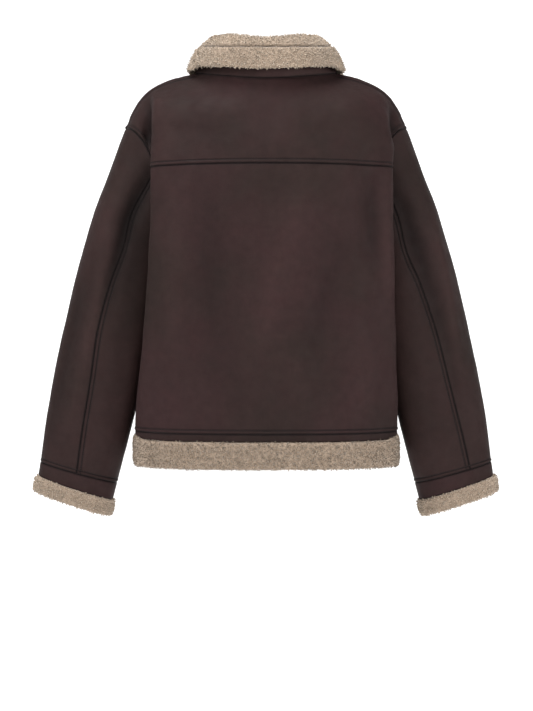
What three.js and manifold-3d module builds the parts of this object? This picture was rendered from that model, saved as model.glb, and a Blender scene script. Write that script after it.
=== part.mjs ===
// A short jacket in leather-faced cloth with a sherpa back, filled out as if worn.
// Millimetres, +Z up. The back faces -Y, the front faces +Y and the wearer's right is +X.
// The origin is the middle of the neck, level with the points where the shoulder seams meet the collar.
import * as THREE from "three";
import { mergeVertices } from "three/addons/utils/BufferGeometryUtils.js";
import Module from "manifold-3d";

// Driving sizes
const CLOTH = 3; // wall of the leather-faced cloth
const SEAM_GAP = 0.3; // between two pieces sewn together
const CENTRE_FRONT = 7; // half the width that the zip shows between the fronts
const HEM_BAND = 17; // leather strip under the hem seam
const HEM_FLEECE = { height: 42, proud: 6, inside: 5 };
const CUFF_FLEECE = { height: 26, proud: 6, inside: 4 };
const COLLAR_CLOTH = 9;
const STAND_WALL = 2.5;
const STAND_GAP = 0.8; // over the neck seam, which slopes under the stand
const ZIP = {
  chain: 2.6,
  tape: CENTRE_FRONT - SEAM_GAP,
  tapeWall: { sunk: 1, thick: 1.2 },
  chainWall: { sunk: 0.2, thick: 2.6 },
};
const SLIDER = { at: 0.35, long: 11, wide: 8.5, shoulder: 5, nose: 5, plate: 2, under: 0.4, foot: 1 };
const BRIDGE = { long: 7, leg: 1.4, wide: 2.4, room: 1, taper: 0.8 };
const PULL = { wide: 7, waist: 5, tip: 4.2, long: 26, corner: 22, thick: 1.3, bar: 1.3 };
const PULL_WINDOW = { wide: 4.2, long: 5 };
const PULL_AXIS = { down: 4.5, out: 3.6 }; // the bar of the pull tab, from the slider's upper edge

// How many steps each stretch between two table rows is cut into
const ACROSS = [2, 2, 2, 2, 3, 3];
const ARMHOLE_STEPS = 2;
const BODY_STEPS = 2;
const SLEEVE_STEPS = 2;

// The neckline of one half, from the centre to the point where it meets the shoulder seam.
const NECK_POINT = { x: 118, y: -9, z: 5 };
const NECKLINE = {
  back: [{ x: 0, y: -88, z: -11 }, { x: 72, y: -66, z: -5 }, NECK_POINT],
  front: [{ x: 0, y: 98, z: -76 }, { x: 76, y: 76, z: -46 }, NECK_POINT],
};

// The shoulder seam, from the neck to the top of the armhole.
const SHOULDER = [
  NECK_POINT,
  { x: 152, y: -5, z: -3 },
  { x: 190, y: -3, z: -21 },
  { x: 215, y: -1, z: -48 },
  { x: 232, y: 0, z: -86 },
];

// The armhole, from the shoulder seam down the back to the underarm and up the front.
const ARMHOLE = [
  { x: 232, y: 0, z: -86 },
  { x: 218, y: -35, z: -90 },
  { x: 197, y: -50, z: -113 },
  { x: 176, y: -58, z: -158 },
  { x: 163, y: -55, z: -203 },
  { x: 154, y: -38, z: -241 },
  { x: 149, y: 5, z: -264 },
  { x: 155, y: 44, z: -242 },
  { x: 166, y: 64, z: -203 },
  { x: 180, y: 66, z: -158 },
  { x: 201, y: 56, z: -113 },
  { x: 220, y: 35, z: -90 },
];

// The side seam, from the underarm to the hem seam.
const SIDE_SEAM = [
  { x: 149, y: 5, z: -264 },
  { x: 150, y: 9, z: -340 },
  { x: 167, y: 10, z: -430 },
  { x: 198, y: 8, z: -515 },
  { x: 210, y: 5, z: -576 },
];

// Rows of the body under the shoulder seam. mid is the centre line, fold the place where the panel turns
// towards the side, with its own x on the left and right, and tuck a point between fold and seam.
const ROW_COLUMNS = ["midY", "midZ", "foldL", "foldR", "foldY", "foldZ", "tuckL", "tuckR", "tuckY", "tuckZ"];
const BACK_ROWS = table(ROW_COLUMNS, [
  [-110, -56, 186, 187, -54, -46, 203, 205, -43, -66],
  [-125, -106, 187, 204, -75, -104, 190, 204, -52, -108],
  [-131, -146, 184, 203, -86, -150, 180, 195, -70, -156],
  [-133, -200, 185, 203, -88, -203, 175, 187, -71, -204],
  [-133, -242, 186, 203, -89, -245, 166, 172, -68, -245],
  [-132, -268, 187, 204, -89, -268, 160, 162, -58, -267],
  [-130, -340, 192, 206, -84, -340, 168, 172, -44, -340],
  [-128, -430, 199, 209, -78, -430, 184, 188, -38, -430],
  [-127, -515, 206, 211, -66, -515, 208, 209, -28, -515],
  [-127, -576, 208, 210, -62, -576, 214, 214, -26, -576],
]);
const FRONT_ROWS = table(ROW_COLUMNS, [
  [106, -102, 188, 188, 44, -50, 206, 206, 38, -68],
  [113, -132, 178, 178, 74, -112, 190, 190, 66, -112],
  [118, -168, 165, 165, 88, -160, 174, 174, 78, -158],
  [121, -207, 158, 158, 94, -205, 165, 165, 82, -203],
  [123, -244, 155, 155, 97, -244, 161, 161, 74, -243],
  [124, -268, 155, 155, 98, -268, 160, 160, 56, -266],
  [124, -340, 160, 160, 96, -340, 167, 167, 56, -340],
  [123, -430, 171, 171, 93, -430, 181, 181, 56, -430],
  [122, -515, 186, 186, 88, -515, 202, 202, 52, -515],
  [122, -576, 190, 190, 86, -576, 210, 210, 48, -576],
]);
// How the panel rounds from the centre line to the fold, as shares of its width, depth and drop.
const ROUNDING = [
  { width: 0.34, depth: 0.05, drop: 0.1 },
  { width: 0.66, depth: 0.22, drop: 0.4 },
  { width: 0.88, depth: 0.58, drop: 0.75 },
];
const FOLD_EDGE = 4; // the fold, counted like the edge
const YOKE_ROW = 3;
const UNDERARM_ROW = 6;
const HEM_ROW = 10;
const EDGE = 6; // the armhole or side seam, counted in control points from the centre
const NECK_EDGE = 2; // the point where the neckline meets the shoulder seam

// Sections of a sleeve under the armhole: its outer and inner edges seen from behind, its depth, and where
// the back seam of the left and the right sleeve crosses it, in control points round it.
const SECTION_COLUMNS = ["outerX", "outerZ", "innerX", "innerZ", "midY", "depth", "seamL", "seamR"];
const SLEEVE_SECTIONS = table(SECTION_COLUMNS, [
  [263, -168, 164, -288, 5, 60, 3.0, 3.12],
  [290, -243, 174, -324, 9, 60, 3.1, 3.22],
  [313, -322, 182, -374, 13, 58, 2.93, 2.98],
  [332, -401, 196, -444, 18, 55, 2.87, 2.77],
  [350, -481, 210, -519, 24, 51, 2.96, 2.67],
  [365, -560, 229, -598, 31, 45, 3.02, 2.56],
  [376, -637, 248, -672, 37, 39, 3.09, 2.42],
  [380, -661, 256, -702, 39, 37, 3.09, 2.42],
]);
const CUFF_SEAM = 7;
const CUFF_END = 8;
const ROUND = 12; // control points round an armhole, so one is 30 degrees of the sleeve
const SECTION_SQUARENESS = 0.9;
const SLEEVE_BACK_SEAM = 3; // where it leaves the armhole
const SLEEVE_FRONT_SEAM = 8.5;

// The largest soft folds of the back: troughs that run down it, between two heights.
const BACK_FOLDS = [
  { topX: 160, footX: 158, topZ: -75, footZ: -345, width: 15, depth: 5 },
  { topX: 60, footX: -28, topZ: -215, footZ: -560, width: 34, depth: 3.5 },
  { topX: 118, footX: 78, topZ: -300, footZ: -575, width: 26, depth: 3 },
  { topX: -78, footX: -104, topZ: -230, footZ: -580, width: 30, depth: 3.5 },
  { topX: -152, footX: -168, topZ: -190, footZ: -430, width: 14, depth: 3 },
];

// Sections of the collar along the neckline, from the centre back to the front end, in control points of
// the neckline. roll is the highest line and fall the outer edge: out is measured away from the neckline and
// up above it. spread swings the fall away from the centre front, and stand is the leather stand's height.
const COLLAR_COLUMNS = ["along", "rollOut", "rollUp", "fallOut", "fallUp", "spread", "stand"];
const COLLAR_SECTIONS = table(COLLAR_COLUMNS, [
  [0, -6, 71, 20, 14, 0, 36],
  [0.7, -8, 70, 20, 13, 0, 35],
  [1.4, -18, 67, 15, 8, 0, 33],
  [2, -29, 59, 12, 2, 0, 29],
  [3, -16, 50, 21, -24, 0, 21],
  [3.6, -12, 46, 24, -33, 8, 17],
  [4, -11, 44, 25, -36, 24, 15],
]);

// Rows of numbers under named columns.
function table(columns, rows) {
  return rows.map((row) => Object.fromEntries(columns.map((name, k) => [name, row[k]])));
}

const vec = (p) => new THREE.Vector3(p.x, p.y, p.z);
const mix = (a, b, t) => a + (b - a) * t;
const smooth = (t) => THREE.MathUtils.smoothstep(t, 0, 1);

// A point of the smooth curve through a list of points, with t counted in points.
function through(points, t, closed = false) {
  const n = points.length;
  const i = closed ? Math.floor(t) : Math.min(Math.max(Math.floor(t), 0), n - 2);
  const at = (k) => {
    if (closed) return points[((k % n) + n) % n];
    if (k < 0) return points[0].clone().multiplyScalar(2).sub(points[1]);
    if (k >= n) return points[n - 1].clone().multiplyScalar(2).sub(points[n - 2]);
    return points[k];
  };
  const [p0, p1, p2, p3] = [at(i - 1), at(i), at(i + 1), at(i + 2)];
  const f = t - i;
  const w0 = ((-f + 2) * f - 1) * f * 0.5;
  const w1 = ((3 * f - 5) * f * f + 2) * 0.5;
  const w2 = ((-3 * f + 4) * f + 1) * f * 0.5;
  const w3 = (f - 1) * f * f * 0.5;
  return new THREE.Vector3()
    .addScaledVector(p0, w0)
    .addScaledVector(p1, w1)
    .addScaledVector(p2, w2)
    .addScaledVector(p3, w3);
}

const mirrored = (points, sign) => points.map((p) => new THREE.Vector3(p.x * sign, p.y, p.z));

// The seam at the outer edge of the body: the armhole down to the underarm, then the side seam.
function edgePoint(face, sign, v) {
  if (v > UNDERARM_ROW) return through(mirrored(SIDE_SEAM, sign), v - UNDERARM_ROW);
  return through(mirrored(ARMHOLE, sign), face === "back" ? v : ROUND - v, true);
}

// A row of the body from the left edge to the right one, at u from -EDGE to EDGE.
function topRow(face, u) {
  const sign = u < 0 ? -1 : 1;
  const out = Math.abs(u);
  if (out > NECK_EDGE) return through(mirrored(SHOULDER, sign), out - NECK_EDGE);
  const half = NECKLINE[face];
  const neck = [...mirrored(half.slice(1).reverse(), -1), ...half.map(vec)];
  return through(neck, u + NECK_EDGE);
}
function halfRow(face, sign, v) {
  const row = (face === "back" ? BACK_ROWS : FRONT_ROWS)[v - 1];
  const foldX = sign * (sign < 0 ? row.foldL : row.foldR);
  const tuckX = sign * (sign < 0 ? row.tuckL : row.tuckR);
  const between = ROUNDING.map(
    (r) =>
      new THREE.Vector3(
        foldX * r.width,
        mix(row.midY, row.foldY, r.depth),
        mix(row.midZ, row.foldZ, r.drop),
      ),
  );
  return [
    ...between,
    new THREE.Vector3(foldX, row.foldY, row.foldZ),
    new THREE.Vector3(tuckX, row.tuckY, row.tuckZ),
    edgePoint(face, sign, v),
  ];
}
const rowCache = new Map();
function rowPoints(face, v) {
  const key = face + v;
  if (!rowCache.has(key)) {
    const row = (face === "back" ? BACK_ROWS : FRONT_ROWS)[v - 1];
    const mid = new THREE.Vector3(0, row.midY, row.midZ);
    rowCache.set(key, [...halfRow(face, -1, v).reverse(), mid, ...halfRow(face, 1, v)]);
  }
  return rowCache.get(key);
}
const rowPoint = (face, u, v) => (v === 0 ? topRow(face, u) : through(rowPoints(face, v), u + EDGE));

// How far a soft fold sinks the back at a place.
function foldDepth(x, z) {
  let depth = 0;
  for (const f of BACK_FOLDS) {
    const down = (f.topZ - z) / (f.topZ - f.footZ);
    if (down <= 0 || down >= 1) continue;
    const across = (x - mix(f.topX, f.footX, down)) / f.width;
    depth += f.depth * Math.sin(Math.PI * down) * Math.exp(-across * across);
  }
  return depth;
}

// The outer face of the body at u across and v down, drawn onto the armhole and side seam past the fold.
function bodyPoint(face, u, v) {
  const columns = Array.from({ length: HEM_ROW + 1 }, (_, row) => rowPoint(face, u, row));
  const p = through(columns, v);
  const out = Math.abs(u);
  if (out > FOLD_EDGE) {
    const edges = Array.from({ length: HEM_ROW + 1 }, (_, row) => rowPoint(face, Math.sign(u) * EDGE, row));
    const offEdge = edgePoint(face, Math.sign(u), v).sub(through(edges, v));
    p.addScaledVector(offEdge, ((out - FOLD_EDGE) / (EDGE - FOLD_EDGE)) ** 2);
  }
  if (face === "back") p.y += foldDepth(p.x, p.z) * (1 - smooth(out - FOLD_EDGE));
  return p;
}

// The outer face of a sleeve, at turn control points round it and s sections down it.
function sleeveSection(sign, turn, section) {
  const angle = (turn / ROUND) * 2 * Math.PI;
  const round = (w) => Math.sign(w) * Math.abs(w) ** SECTION_SQUARENESS;
  const across = round(Math.cos(angle));
  return new THREE.Vector3(
    sign * (mix(section.innerX, section.outerX, (across + 1) / 2)),
    section.midY - section.depth * round(Math.sin(angle)),
    mix(section.innerZ, section.outerZ, (across + 1) / 2),
  );
}
function sleevePoint(sign, turn, s) {
  const down = SLEEVE_SECTIONS.map((section) => sleeveSection(sign, turn, section));
  return through([through(mirrored(ARMHOLE, sign), turn, true), ...down], s);
}
function backSeamTurn(sign, s) {
  const turns = [SLEEVE_BACK_SEAM, ...SLEEVE_SECTIONS.map((row) => (sign < 0 ? row.seamL : row.seamR))];
  const k = Math.min(Math.floor(s), turns.length - 2);
  return mix(turns[k], turns[k + 1], s - k);
}

// A grid of points on the outer face of a piece, rows by columns, kept with its neighbours' seams.
const seams = [];
const SAME_PLACE = 0.05;
const seamAt = (p) => seams.find((seam) => seam.place.distanceTo(p) < SAME_PLACE);
function grid(rows, columns, point, { wraps = false } = {}) {
  const points = rows.map((r) => columns.map((c) => point(r, c)));
  const n = columns.length;
  const pick = (i, j) => {
    if (wraps) return points[Math.min(Math.max(i, 0), rows.length - 1)][(j + n) % n];
    return points[Math.min(Math.max(i, 0), rows.length - 1)][Math.min(Math.max(j, 0), n - 1)];
  };
  const normals = points.map((line, i) =>
    line.map((_, j) => {
      const down = pick(i + 1, j).clone().sub(pick(i - 1, j));
      const across = pick(i, j + 1).clone().sub(pick(i, j - 1));
      return down.cross(across).normalize();
    }),
  );
  const all = points.flat();
  const middle = all.reduce((sum, p) => sum.add(p), new THREE.Vector3()).divideScalar(all.length);
  const facing = normals.flat().reduce((sum, normal, k) => sum + normal.dot(all[k].clone().sub(middle)), 0);
  if (facing < 0) normals.flat().forEach((normal) => normal.negate());
  const inward = (i, j) => {
    const d = new THREE.Vector3();
    const towards = (a, b) => d.add(pick(a, b).clone().sub(points[i][j]).normalize());
    if (i === 0) towards(1, j);
    if (i === rows.length - 1) towards(i - 1, j);
    if (!wraps && j === 0) towards(i, 1);
    if (!wraps && j === n - 1) towards(i, n - 2);
    return d.lengthSq() > 0 ? d.normalize() : d;
  };
  const made = { points, normals, inward, wraps };
  points.forEach((line, i) =>
    line.forEach((p, j) => {
      const own = inward(i, j);
      if (own.lengthSq() === 0) return;
      let seam = seamAt(p);
      if (!seam) {
        seam = { place: p.clone(), count: 0, normal: new THREE.Vector3(), along: new THREE.Vector3() };
        seams.push(seam);
      }
      seam.count += 1;
      seam.normal.add(normals[i][j]);
      seam.along.add(own);
    }),
  );
  return made;
}

// The two faces of a wall of cloth: at a seam both pieces lean the same way and stand a gap apart.
function faces({ points, normals, inward }, outside, inside) {
  const outer = [];
  const inner = [];
  points.forEach((line, i) =>
    line.forEach((p, j) => {
      const own = inward(i, j);
      const seam = own.lengthSq() > 0 ? seamAt(p) : undefined;
      const normal = seam ? seam.normal.clone().normalize() : normals[i][j];
      const base = p.clone();
      if (seam && seam.count > 1) {
        const apart = own.multiplyScalar(seam.count).sub(seam.along).normalize();
        base.addScaledVector(apart, (SEAM_GAP / 2) * (seam.count - 1));
      }
      outer.push(base.clone().addScaledVector(normal, outside));
      inner.push(base.clone().addScaledVector(normal, -inside));
    }),
  );
  return { outer, inner };
}

// A closed wall over a grid, its outer face on the grid.
function wall(sheet, { outside = 0, inside = CLOTH } = {}) {
  const { outer, inner } = faces(sheet, outside, inside);
  const rows = sheet.points.length;
  const n = sheet.points[0].length;
  const spans = sheet.wraps ? n : n - 1;
  const skin = outer.length;
  const index = [];
  const quad = (a, b, c, d) => index.push(a, b, c, a, c, d);
  const id = (i, j) => i * n + (j % n);
  for (let i = 0; i < rows - 1; i++) {
    for (let j = 0; j < spans; j++) {
      quad(id(i, j), id(i + 1, j), id(i + 1, j + 1), id(i, j + 1));
      quad(skin + id(i, j), skin + id(i, j + 1), skin + id(i + 1, j + 1), skin + id(i + 1, j));
    }
  }
  for (let j = 0; j < spans; j++) {
    quad(id(0, j), id(0, j + 1), skin + id(0, j + 1), skin + id(0, j));
    quad(id(rows - 1, j), skin + id(rows - 1, j), skin + id(rows - 1, j + 1), id(rows - 1, j + 1));
  }
  if (!sheet.wraps) {
    for (let i = 0; i < rows - 1; i++) {
      quad(id(i, 0), skin + id(i, 0), skin + id(i + 1, 0), id(i + 1, 0));
      quad(id(i, n - 1), id(i + 1, n - 1), skin + id(i + 1, n - 1), skin + id(i, n - 1));
    }
  }
  return solid([...outer, ...inner], index);
}

// A geometry from points and triangles, turned so that it faces out.
function solid(points, index) {
  const geometry = new THREE.BufferGeometry();
  geometry.setAttribute("position", new THREE.Float32BufferAttribute(points.flatMap((p) => p.toArray()), 3));
  let volume = 0;
  for (let k = 0; k < index.length; k += 3) {
    const [a, b, c] = [points[index[k]], points[index[k + 1]], points[index[k + 2]]];
    volume += a.dot(b.clone().cross(c));
  }
  geometry.setIndex(volume < 0 ? index.slice().reverse() : index);
  return geometry;
}

// A rounded roll of fleece under a line of cloth. Each place is a point with its outward and downward ways.
const ROLL_SIDES = 10;
const ROLL_SQUARENESS = 0.6;
function roll(places, { height, proud, inside }, closed) {
  const round = (w) => Math.sign(w) * Math.abs(w) ** ROLL_SQUARENESS;
  const halfThick = (proud + inside) / 2;
  const points = places.flatMap(({ point, out, down }) =>
    Array.from({ length: ROLL_SIDES }, (_, k) => {
      const angle = (k / ROLL_SIDES) * 2 * Math.PI;
      return point
        .clone()
        .addScaledVector(out, (proud - inside) / 2 + halfThick * round(Math.cos(angle)))
        .addScaledVector(down, SEAM_GAP + (height / 2) * (1 + round(Math.sin(angle))));
    }),
  );
  const count = places.length;
  const index = [];
  const id = (i, k) => (i % count) * ROLL_SIDES + (k % ROLL_SIDES);
  for (let i = 0; i < (closed ? count : count - 1); i++) {
    for (let k = 0; k < ROLL_SIDES; k++) {
      index.push(id(i, k), id(i + 1, k), id(i + 1, k + 1), id(i, k), id(i + 1, k + 1), id(i, k + 1));
    }
  }
  if (!closed) {
    for (let k = 1; k < ROLL_SIDES - 1; k++) {
      index.push(id(0, 0), id(0, k), id(0, k + 1));
      index.push(id(count - 1, 0), id(count - 1, k + 1), id(count - 1, k));
    }
  }
  return solid(points, index);
}

// Steps along a run of table rows or control points.
function steps(from, to, per) {
  const list = [];
  for (let k = from; k < to; k++) {
    const count = typeof per === "number" ? per : per[k];
    for (let f = 0; f < count; f++) list.push(k + f / count);
  }
  return [...list, to];
}
const halfAcross = steps(0, EDGE, ACROSS);
const wholeAcross = [...halfAcross.slice(1).reverse().map((u) => -u), ...halfAcross];
const armholeRows = (from, to) => steps(from, to, ARMHOLE_STEPS);
const bodyRows = (from, to) => steps(from, to, BODY_STEPS);

// Materials
const leather = { color: 0x43302f, roughness: 0.62, metalness: 0 };
const fleece = { color: 0xb39d87, roughness: 0.95, metalness: 0 };
const metal = { color: 0x4a4340, roughness: 0.35, metalness: 0.9 };
const tape = { color: 0x2b201f, roughness: 0.9, metalness: 0 };

const jacket = new THREE.Group();
function add(name, geometry, material) {
  const mesh = new THREE.Mesh(geometry, new THREE.MeshStandardMaterial({ name, ...material }));
  mesh.name = name;
  jacket.add(mesh);
}

// A front leaves room for the zip at its centre edge.
function frontPoint(sign, u, v) {
  const p = bodyPoint("front", sign * u, v);
  p.x += sign * CENTRE_FRONT * Math.max(0, 1 - u / NECK_EDGE) ** 2;
  return p;
}

// Body panels
const yokeSheet = grid(armholeRows(0, YOKE_ROW), wholeAcross, (v, u) => bodyPoint("back", u, v));
const backRows = [...armholeRows(YOKE_ROW, UNDERARM_ROW), ...bodyRows(UNDERARM_ROW, HEM_ROW).slice(1)];
const backSheet = grid(backRows, wholeAcross, (v, u) => bodyPoint("back", u, v));
const frontRows = [...armholeRows(0, UNDERARM_ROW), ...bodyRows(UNDERARM_ROW, HEM_ROW).slice(1)];
const frontSheets = {};
for (const [side, sign] of Object.entries({ left: -1, right: 1 })) {
  frontSheets[side] = grid(frontRows, halfAcross, (v, u) => frontPoint(sign, u, v));
}

// The hem ring, from the zip on the left round the back to the zip on the right.
const hemPath = [
  ...halfAcross.map((u) => frontPoint(-1, u, HEM_ROW)),
  ...wholeAcross.slice(1, -1).map((u) => bodyPoint("back", u, HEM_ROW)),
  ...halfAcross.slice().reverse().map((u) => frontPoint(1, u, HEM_ROW)),
];
const hemSheet = grid([0, HEM_BAND], [...hemPath.keys()], (drop, k) => {
  const p = hemPath[k].clone();
  p.z -= drop;
  return p;
});
const hemPlaces = hemPath.map((p, k) => {
  const before = hemPath[Math.max(k - 1, 0)];
  const after = hemPath[Math.min(k + 1, hemPath.length - 1)];
  const run = after.clone().sub(before);
  const out = new THREE.Vector3(-run.y, run.x, 0).normalize();
  if (out.dot(p) < 0) out.negate();
  return { point: p.clone().setZ(p.z - HEM_BAND), out, down: new THREE.Vector3(0, 0, -1) };
});

// Sleeves: a top and an under panel, a leather cuff band and a roll of fleece.
const sleeveRows = steps(0, CUFF_SEAM, SLEEVE_STEPS);
function sleevePieces(sign) {
  const back = (s) => backSeamTurn(sign, s);
  const topStart = SLEEVE_FRONT_SEAM - ROUND;
  const panel = (from, to, rows) => {
    const count = Math.round((to(0) - from(0)) * ARMHOLE_STEPS);
    const columns = [...Array(count + 1).keys()];
    return grid(rows, columns, (s, k) => sleevePoint(sign, mix(from(s), to(s), k / count), s));
  };
  const topCount = (SLEEVE_BACK_SEAM - topStart) * ARMHOLE_STEPS;
  const ringTurn = (k, s) => {
    if (k <= topCount) return mix(topStart, back(s), k / topCount);
    return mix(back(s), SLEEVE_FRONT_SEAM, (k - topCount) / (ROUND * ARMHOLE_STEPS - topCount));
  };
  const ring = [...Array(ROUND * ARMHOLE_STEPS).keys()];
  const ringPoint = (s, k) => sleevePoint(sign, ringTurn(k, CUFF_SEAM), s);
  return {
    top: panel(() => topStart, back, sleeveRows),
    under: panel(back, () => SLEEVE_FRONT_SEAM, sleeveRows),
    cuff: grid([CUFF_SEAM, CUFF_END], ring, ringPoint, { wraps: true }),
    places: ring.map((k) => {
      const point = ringPoint(CUFF_END, k);
      const down = point.clone().sub(ringPoint(CUFF_SEAM, k)).normalize();
      const next = ringPoint(CUFF_END, k + 1).sub(ringPoint(CUFF_END, k - 1));
      const out = next.cross(down).normalize();
      const middle = ringPoint(CUFF_END, k + ring.length / 2).add(point).multiplyScalar(0.5);
      if (out.dot(point.clone().sub(middle)) < 0) out.negate();
      return { point, out, down };
    }),
  };
}
const sleeves = { left: sleevePieces(-1), right: sleevePieces(1) };

// The collar stand and the fleece collar round the neckline, from the left front to the right front.
const NECK_END = 4; // centre front, counted from the centre back
const NECK_REACH = 0.05; // how far along the neckline its direction is taken
function neckPlace(along) {
  const out = Math.min(Math.abs(along), NECK_END);
  const sign = along < 0 ? -1 : 1;
  const at = (w) => (w <= NECK_EDGE ? topRow("back", w) : frontPoint(1, NECK_END - w, 0));
  const point = at(out);
  const before = at(Math.max(0, out - NECK_REACH));
  const after = at(Math.min(NECK_END, out + NECK_REACH));
  const run = after.sub(before);
  const outward = new THREE.Vector3(-run.y, run.x, 0).normalize();
  if (outward.dot(new THREE.Vector3(point.x, point.y, 0)) < 0) outward.negate();
  point.x *= sign;
  outward.x *= sign;
  return { point, outward };
}
function collarSize(along, size) {
  const out = Math.abs(along);
  const k = COLLAR_SECTIONS.findIndex((s, i) => i > 0 && out <= s.along);
  const [a, b] = k < 0 ? COLLAR_SECTIONS.slice(-2) : COLLAR_SECTIONS.slice(k - 1, k + 1);
  return mix(a[size], b[size], smooth(Math.min(1, (out - a.along) / (b.along - a.along))));
}
const neckSteps = steps(0, NECK_END, 2);
const neckAll = [...neckSteps.slice(1).reverse().map((w) => -w), ...neckSteps];

const STAND_ROWS = [0, 0.5, 1];
const standSheet = grid(STAND_ROWS.slice().reverse(), neckAll, (up, along) => {
  const { point, outward } = neckPlace(along);
  const height = collarSize(along, "stand") * up;
  const lean = (collarSize(along, "rollOut") * height) / collarSize(along, "rollUp");
  return point
    .clone()
    .addScaledVector(outward, lean)
    .add(new THREE.Vector3(0, 0, STAND_GAP + height));
});

// The middle of the fleece collar: up inside the stand, over the roll and down to the edge of the fall.
const COLLAR_ROWS = [0, 0.25, 0.5, 0.75, 1, 1.25, 1.5, 1.75, 2, 2.5, 3, 3.5, 4];
const INSIDE_STAND = COLLAR_CLOTH / 2 + STAND_WALL + 1.2;
const COLLAR_CLEARANCE = 2.5;
const INNER_EDGE = 0.1; // share of the way up to the roll
const INNER_BEND = 0.72;
const FALL_BEND = { out: 0.62, down: 0.36 }; // shares of the way from the roll to the fall
function collarPoint(w, along) {
  const { point, outward } = neckPlace(along);
  const size = (name) => collarSize(along, name);
  const half = COLLAR_CLOTH / 2;
  const rollUp = size("rollUp") - half;
  const line = [
    [-INSIDE_STAND + size("rollOut") * INNER_EDGE, rollUp * INNER_EDGE],
    [-INSIDE_STAND + size("rollOut") * INNER_BEND, rollUp * INNER_BEND],
    [size("rollOut"), rollUp],
    [mix(size("rollOut"), size("fallOut"), FALL_BEND.out), mix(rollUp, size("fallUp"), FALL_BEND.down)],
    [size("fallOut"), size("fallUp")],
  ].map(([out, up]) => new THREE.Vector3(out, up, 0));
  const at = through(line, w);
  const side = (along < 0 ? -1 : 1) * size("spread") * Math.max(0, (w - 2) / 2);
  const place = point
    .clone()
    .addScaledVector(outward, at.x)
    .add(new THREE.Vector3(side, 0, at.y));
  return w > 2 ? restOn(place, half + COLLAR_CLEARANCE) : place;
}

// Lifts a point off the shoulders and fronts until it is clear of them.
function restOn(place, clearance) {
  const sheets = [yokeSheet, frontSheets.left, frontSheets.right];
  let nearest;
  for (const sheet of sheets) {
    sheet.points.forEach((line, i) =>
      line.forEach((p, j) => {
        const distance = p.distanceTo(place);
        if (!nearest || distance < nearest.distance) nearest = { distance, p, normal: sheet.normals[i][j] };
      }),
    );
  }
  const height = place.clone().sub(nearest.p).dot(nearest.normal);
  return place.addScaledVector(nearest.normal, Math.max(0, clearance - height));
}
const collarSheet = grid(COLLAR_ROWS, neckAll, collarPoint);

// The zip, from the neck to the lower edge of the hem band: two tapes and a chain of teeth between them.
const zipRows = steps(0, HEM_ROW + 1, 1);
function zipPoint(v, x, sunk) {
  const p = bodyPoint("front", 0, Math.min(v, HEM_ROW));
  return p.add(new THREE.Vector3(x, -sunk, -HEM_BAND * Math.max(0, v - HEM_ROW)));
}
function zipStrip(from, to, { sunk, thick }) {
  return wall(grid(zipRows, [from, to], (v, x) => zipPoint(v, x, sunk)), { inside: thick });
}

// The slider and its pull tab lie on the chain. x is across, y down the zip and z out from it.
const sliderTop = zipPoint(0, 0, 0).lerp(zipPoint(1, 0, 0), SLIDER.at);
const alongZip = zipPoint(1, 0, 0).sub(sliderTop).normalize();
const outOfZip = new THREE.Vector3(1, 0, 0).cross(alongZip);
const onZip = new THREE.Matrix4()
  .makeBasis(new THREE.Vector3(1, 0, 0), alongZip, outOfZip)
  .setPosition(sliderTop);
function extruded(outline, holes, from, to) {
  const shape = new THREE.Shape(outline.map(([x, y]) => new THREE.Vector2(x, y)));
  shape.holes = holes.map((hole) => new THREE.Path(hole.map(([x, y]) => new THREE.Vector2(x, y))));
  return new THREE.ExtrudeGeometry(shape, { depth: to - from, bevelEnabled: false }).translate(0, 0, from);
}
function sliderGeometry() {
  const { long, wide, plate, under, shoulder, nose, foot } = SLIDER;
  const plateShape = [
    [-wide / 2, 0],
    [wide / 2, 0],
    [wide / 2, shoulder],
    [nose / 2, long],
    [-nose / 2, long],
    [-wide / 2, shoulder],
  ];
  const body = extruded(plateShape, [], under, under + plate);
  const [outer, inner] = [BRIDGE.long / 2, BRIDGE.long / 2 - BRIDGE.leg];
  const roof = PULL_AXIS.out + BRIDGE.room;
  const arch = [
    [-outer, foot],
    [-inner, foot],
    [-inner, roof],
    [inner, roof],
    [inner, foot],
    [outer, foot],
    [outer * BRIDGE.taper, roof + BRIDGE.leg],
    [-outer * BRIDGE.taper, roof + BRIDGE.leg],
  ].map(([down, out]) => [PULL_AXIS.down + down, out]);
  const bridge = extruded(arch, [], -BRIDGE.wide / 2, BRIDGE.wide / 2);
  bridge.applyMatrix4(
    new THREE.Matrix4().makeBasis(
      new THREE.Vector3(0, 1, 0),
      new THREE.Vector3(0, 0, 1),
      new THREE.Vector3(1, 0, 0),
    ),
  );
  return joined([body, bridge]);
}

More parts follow.
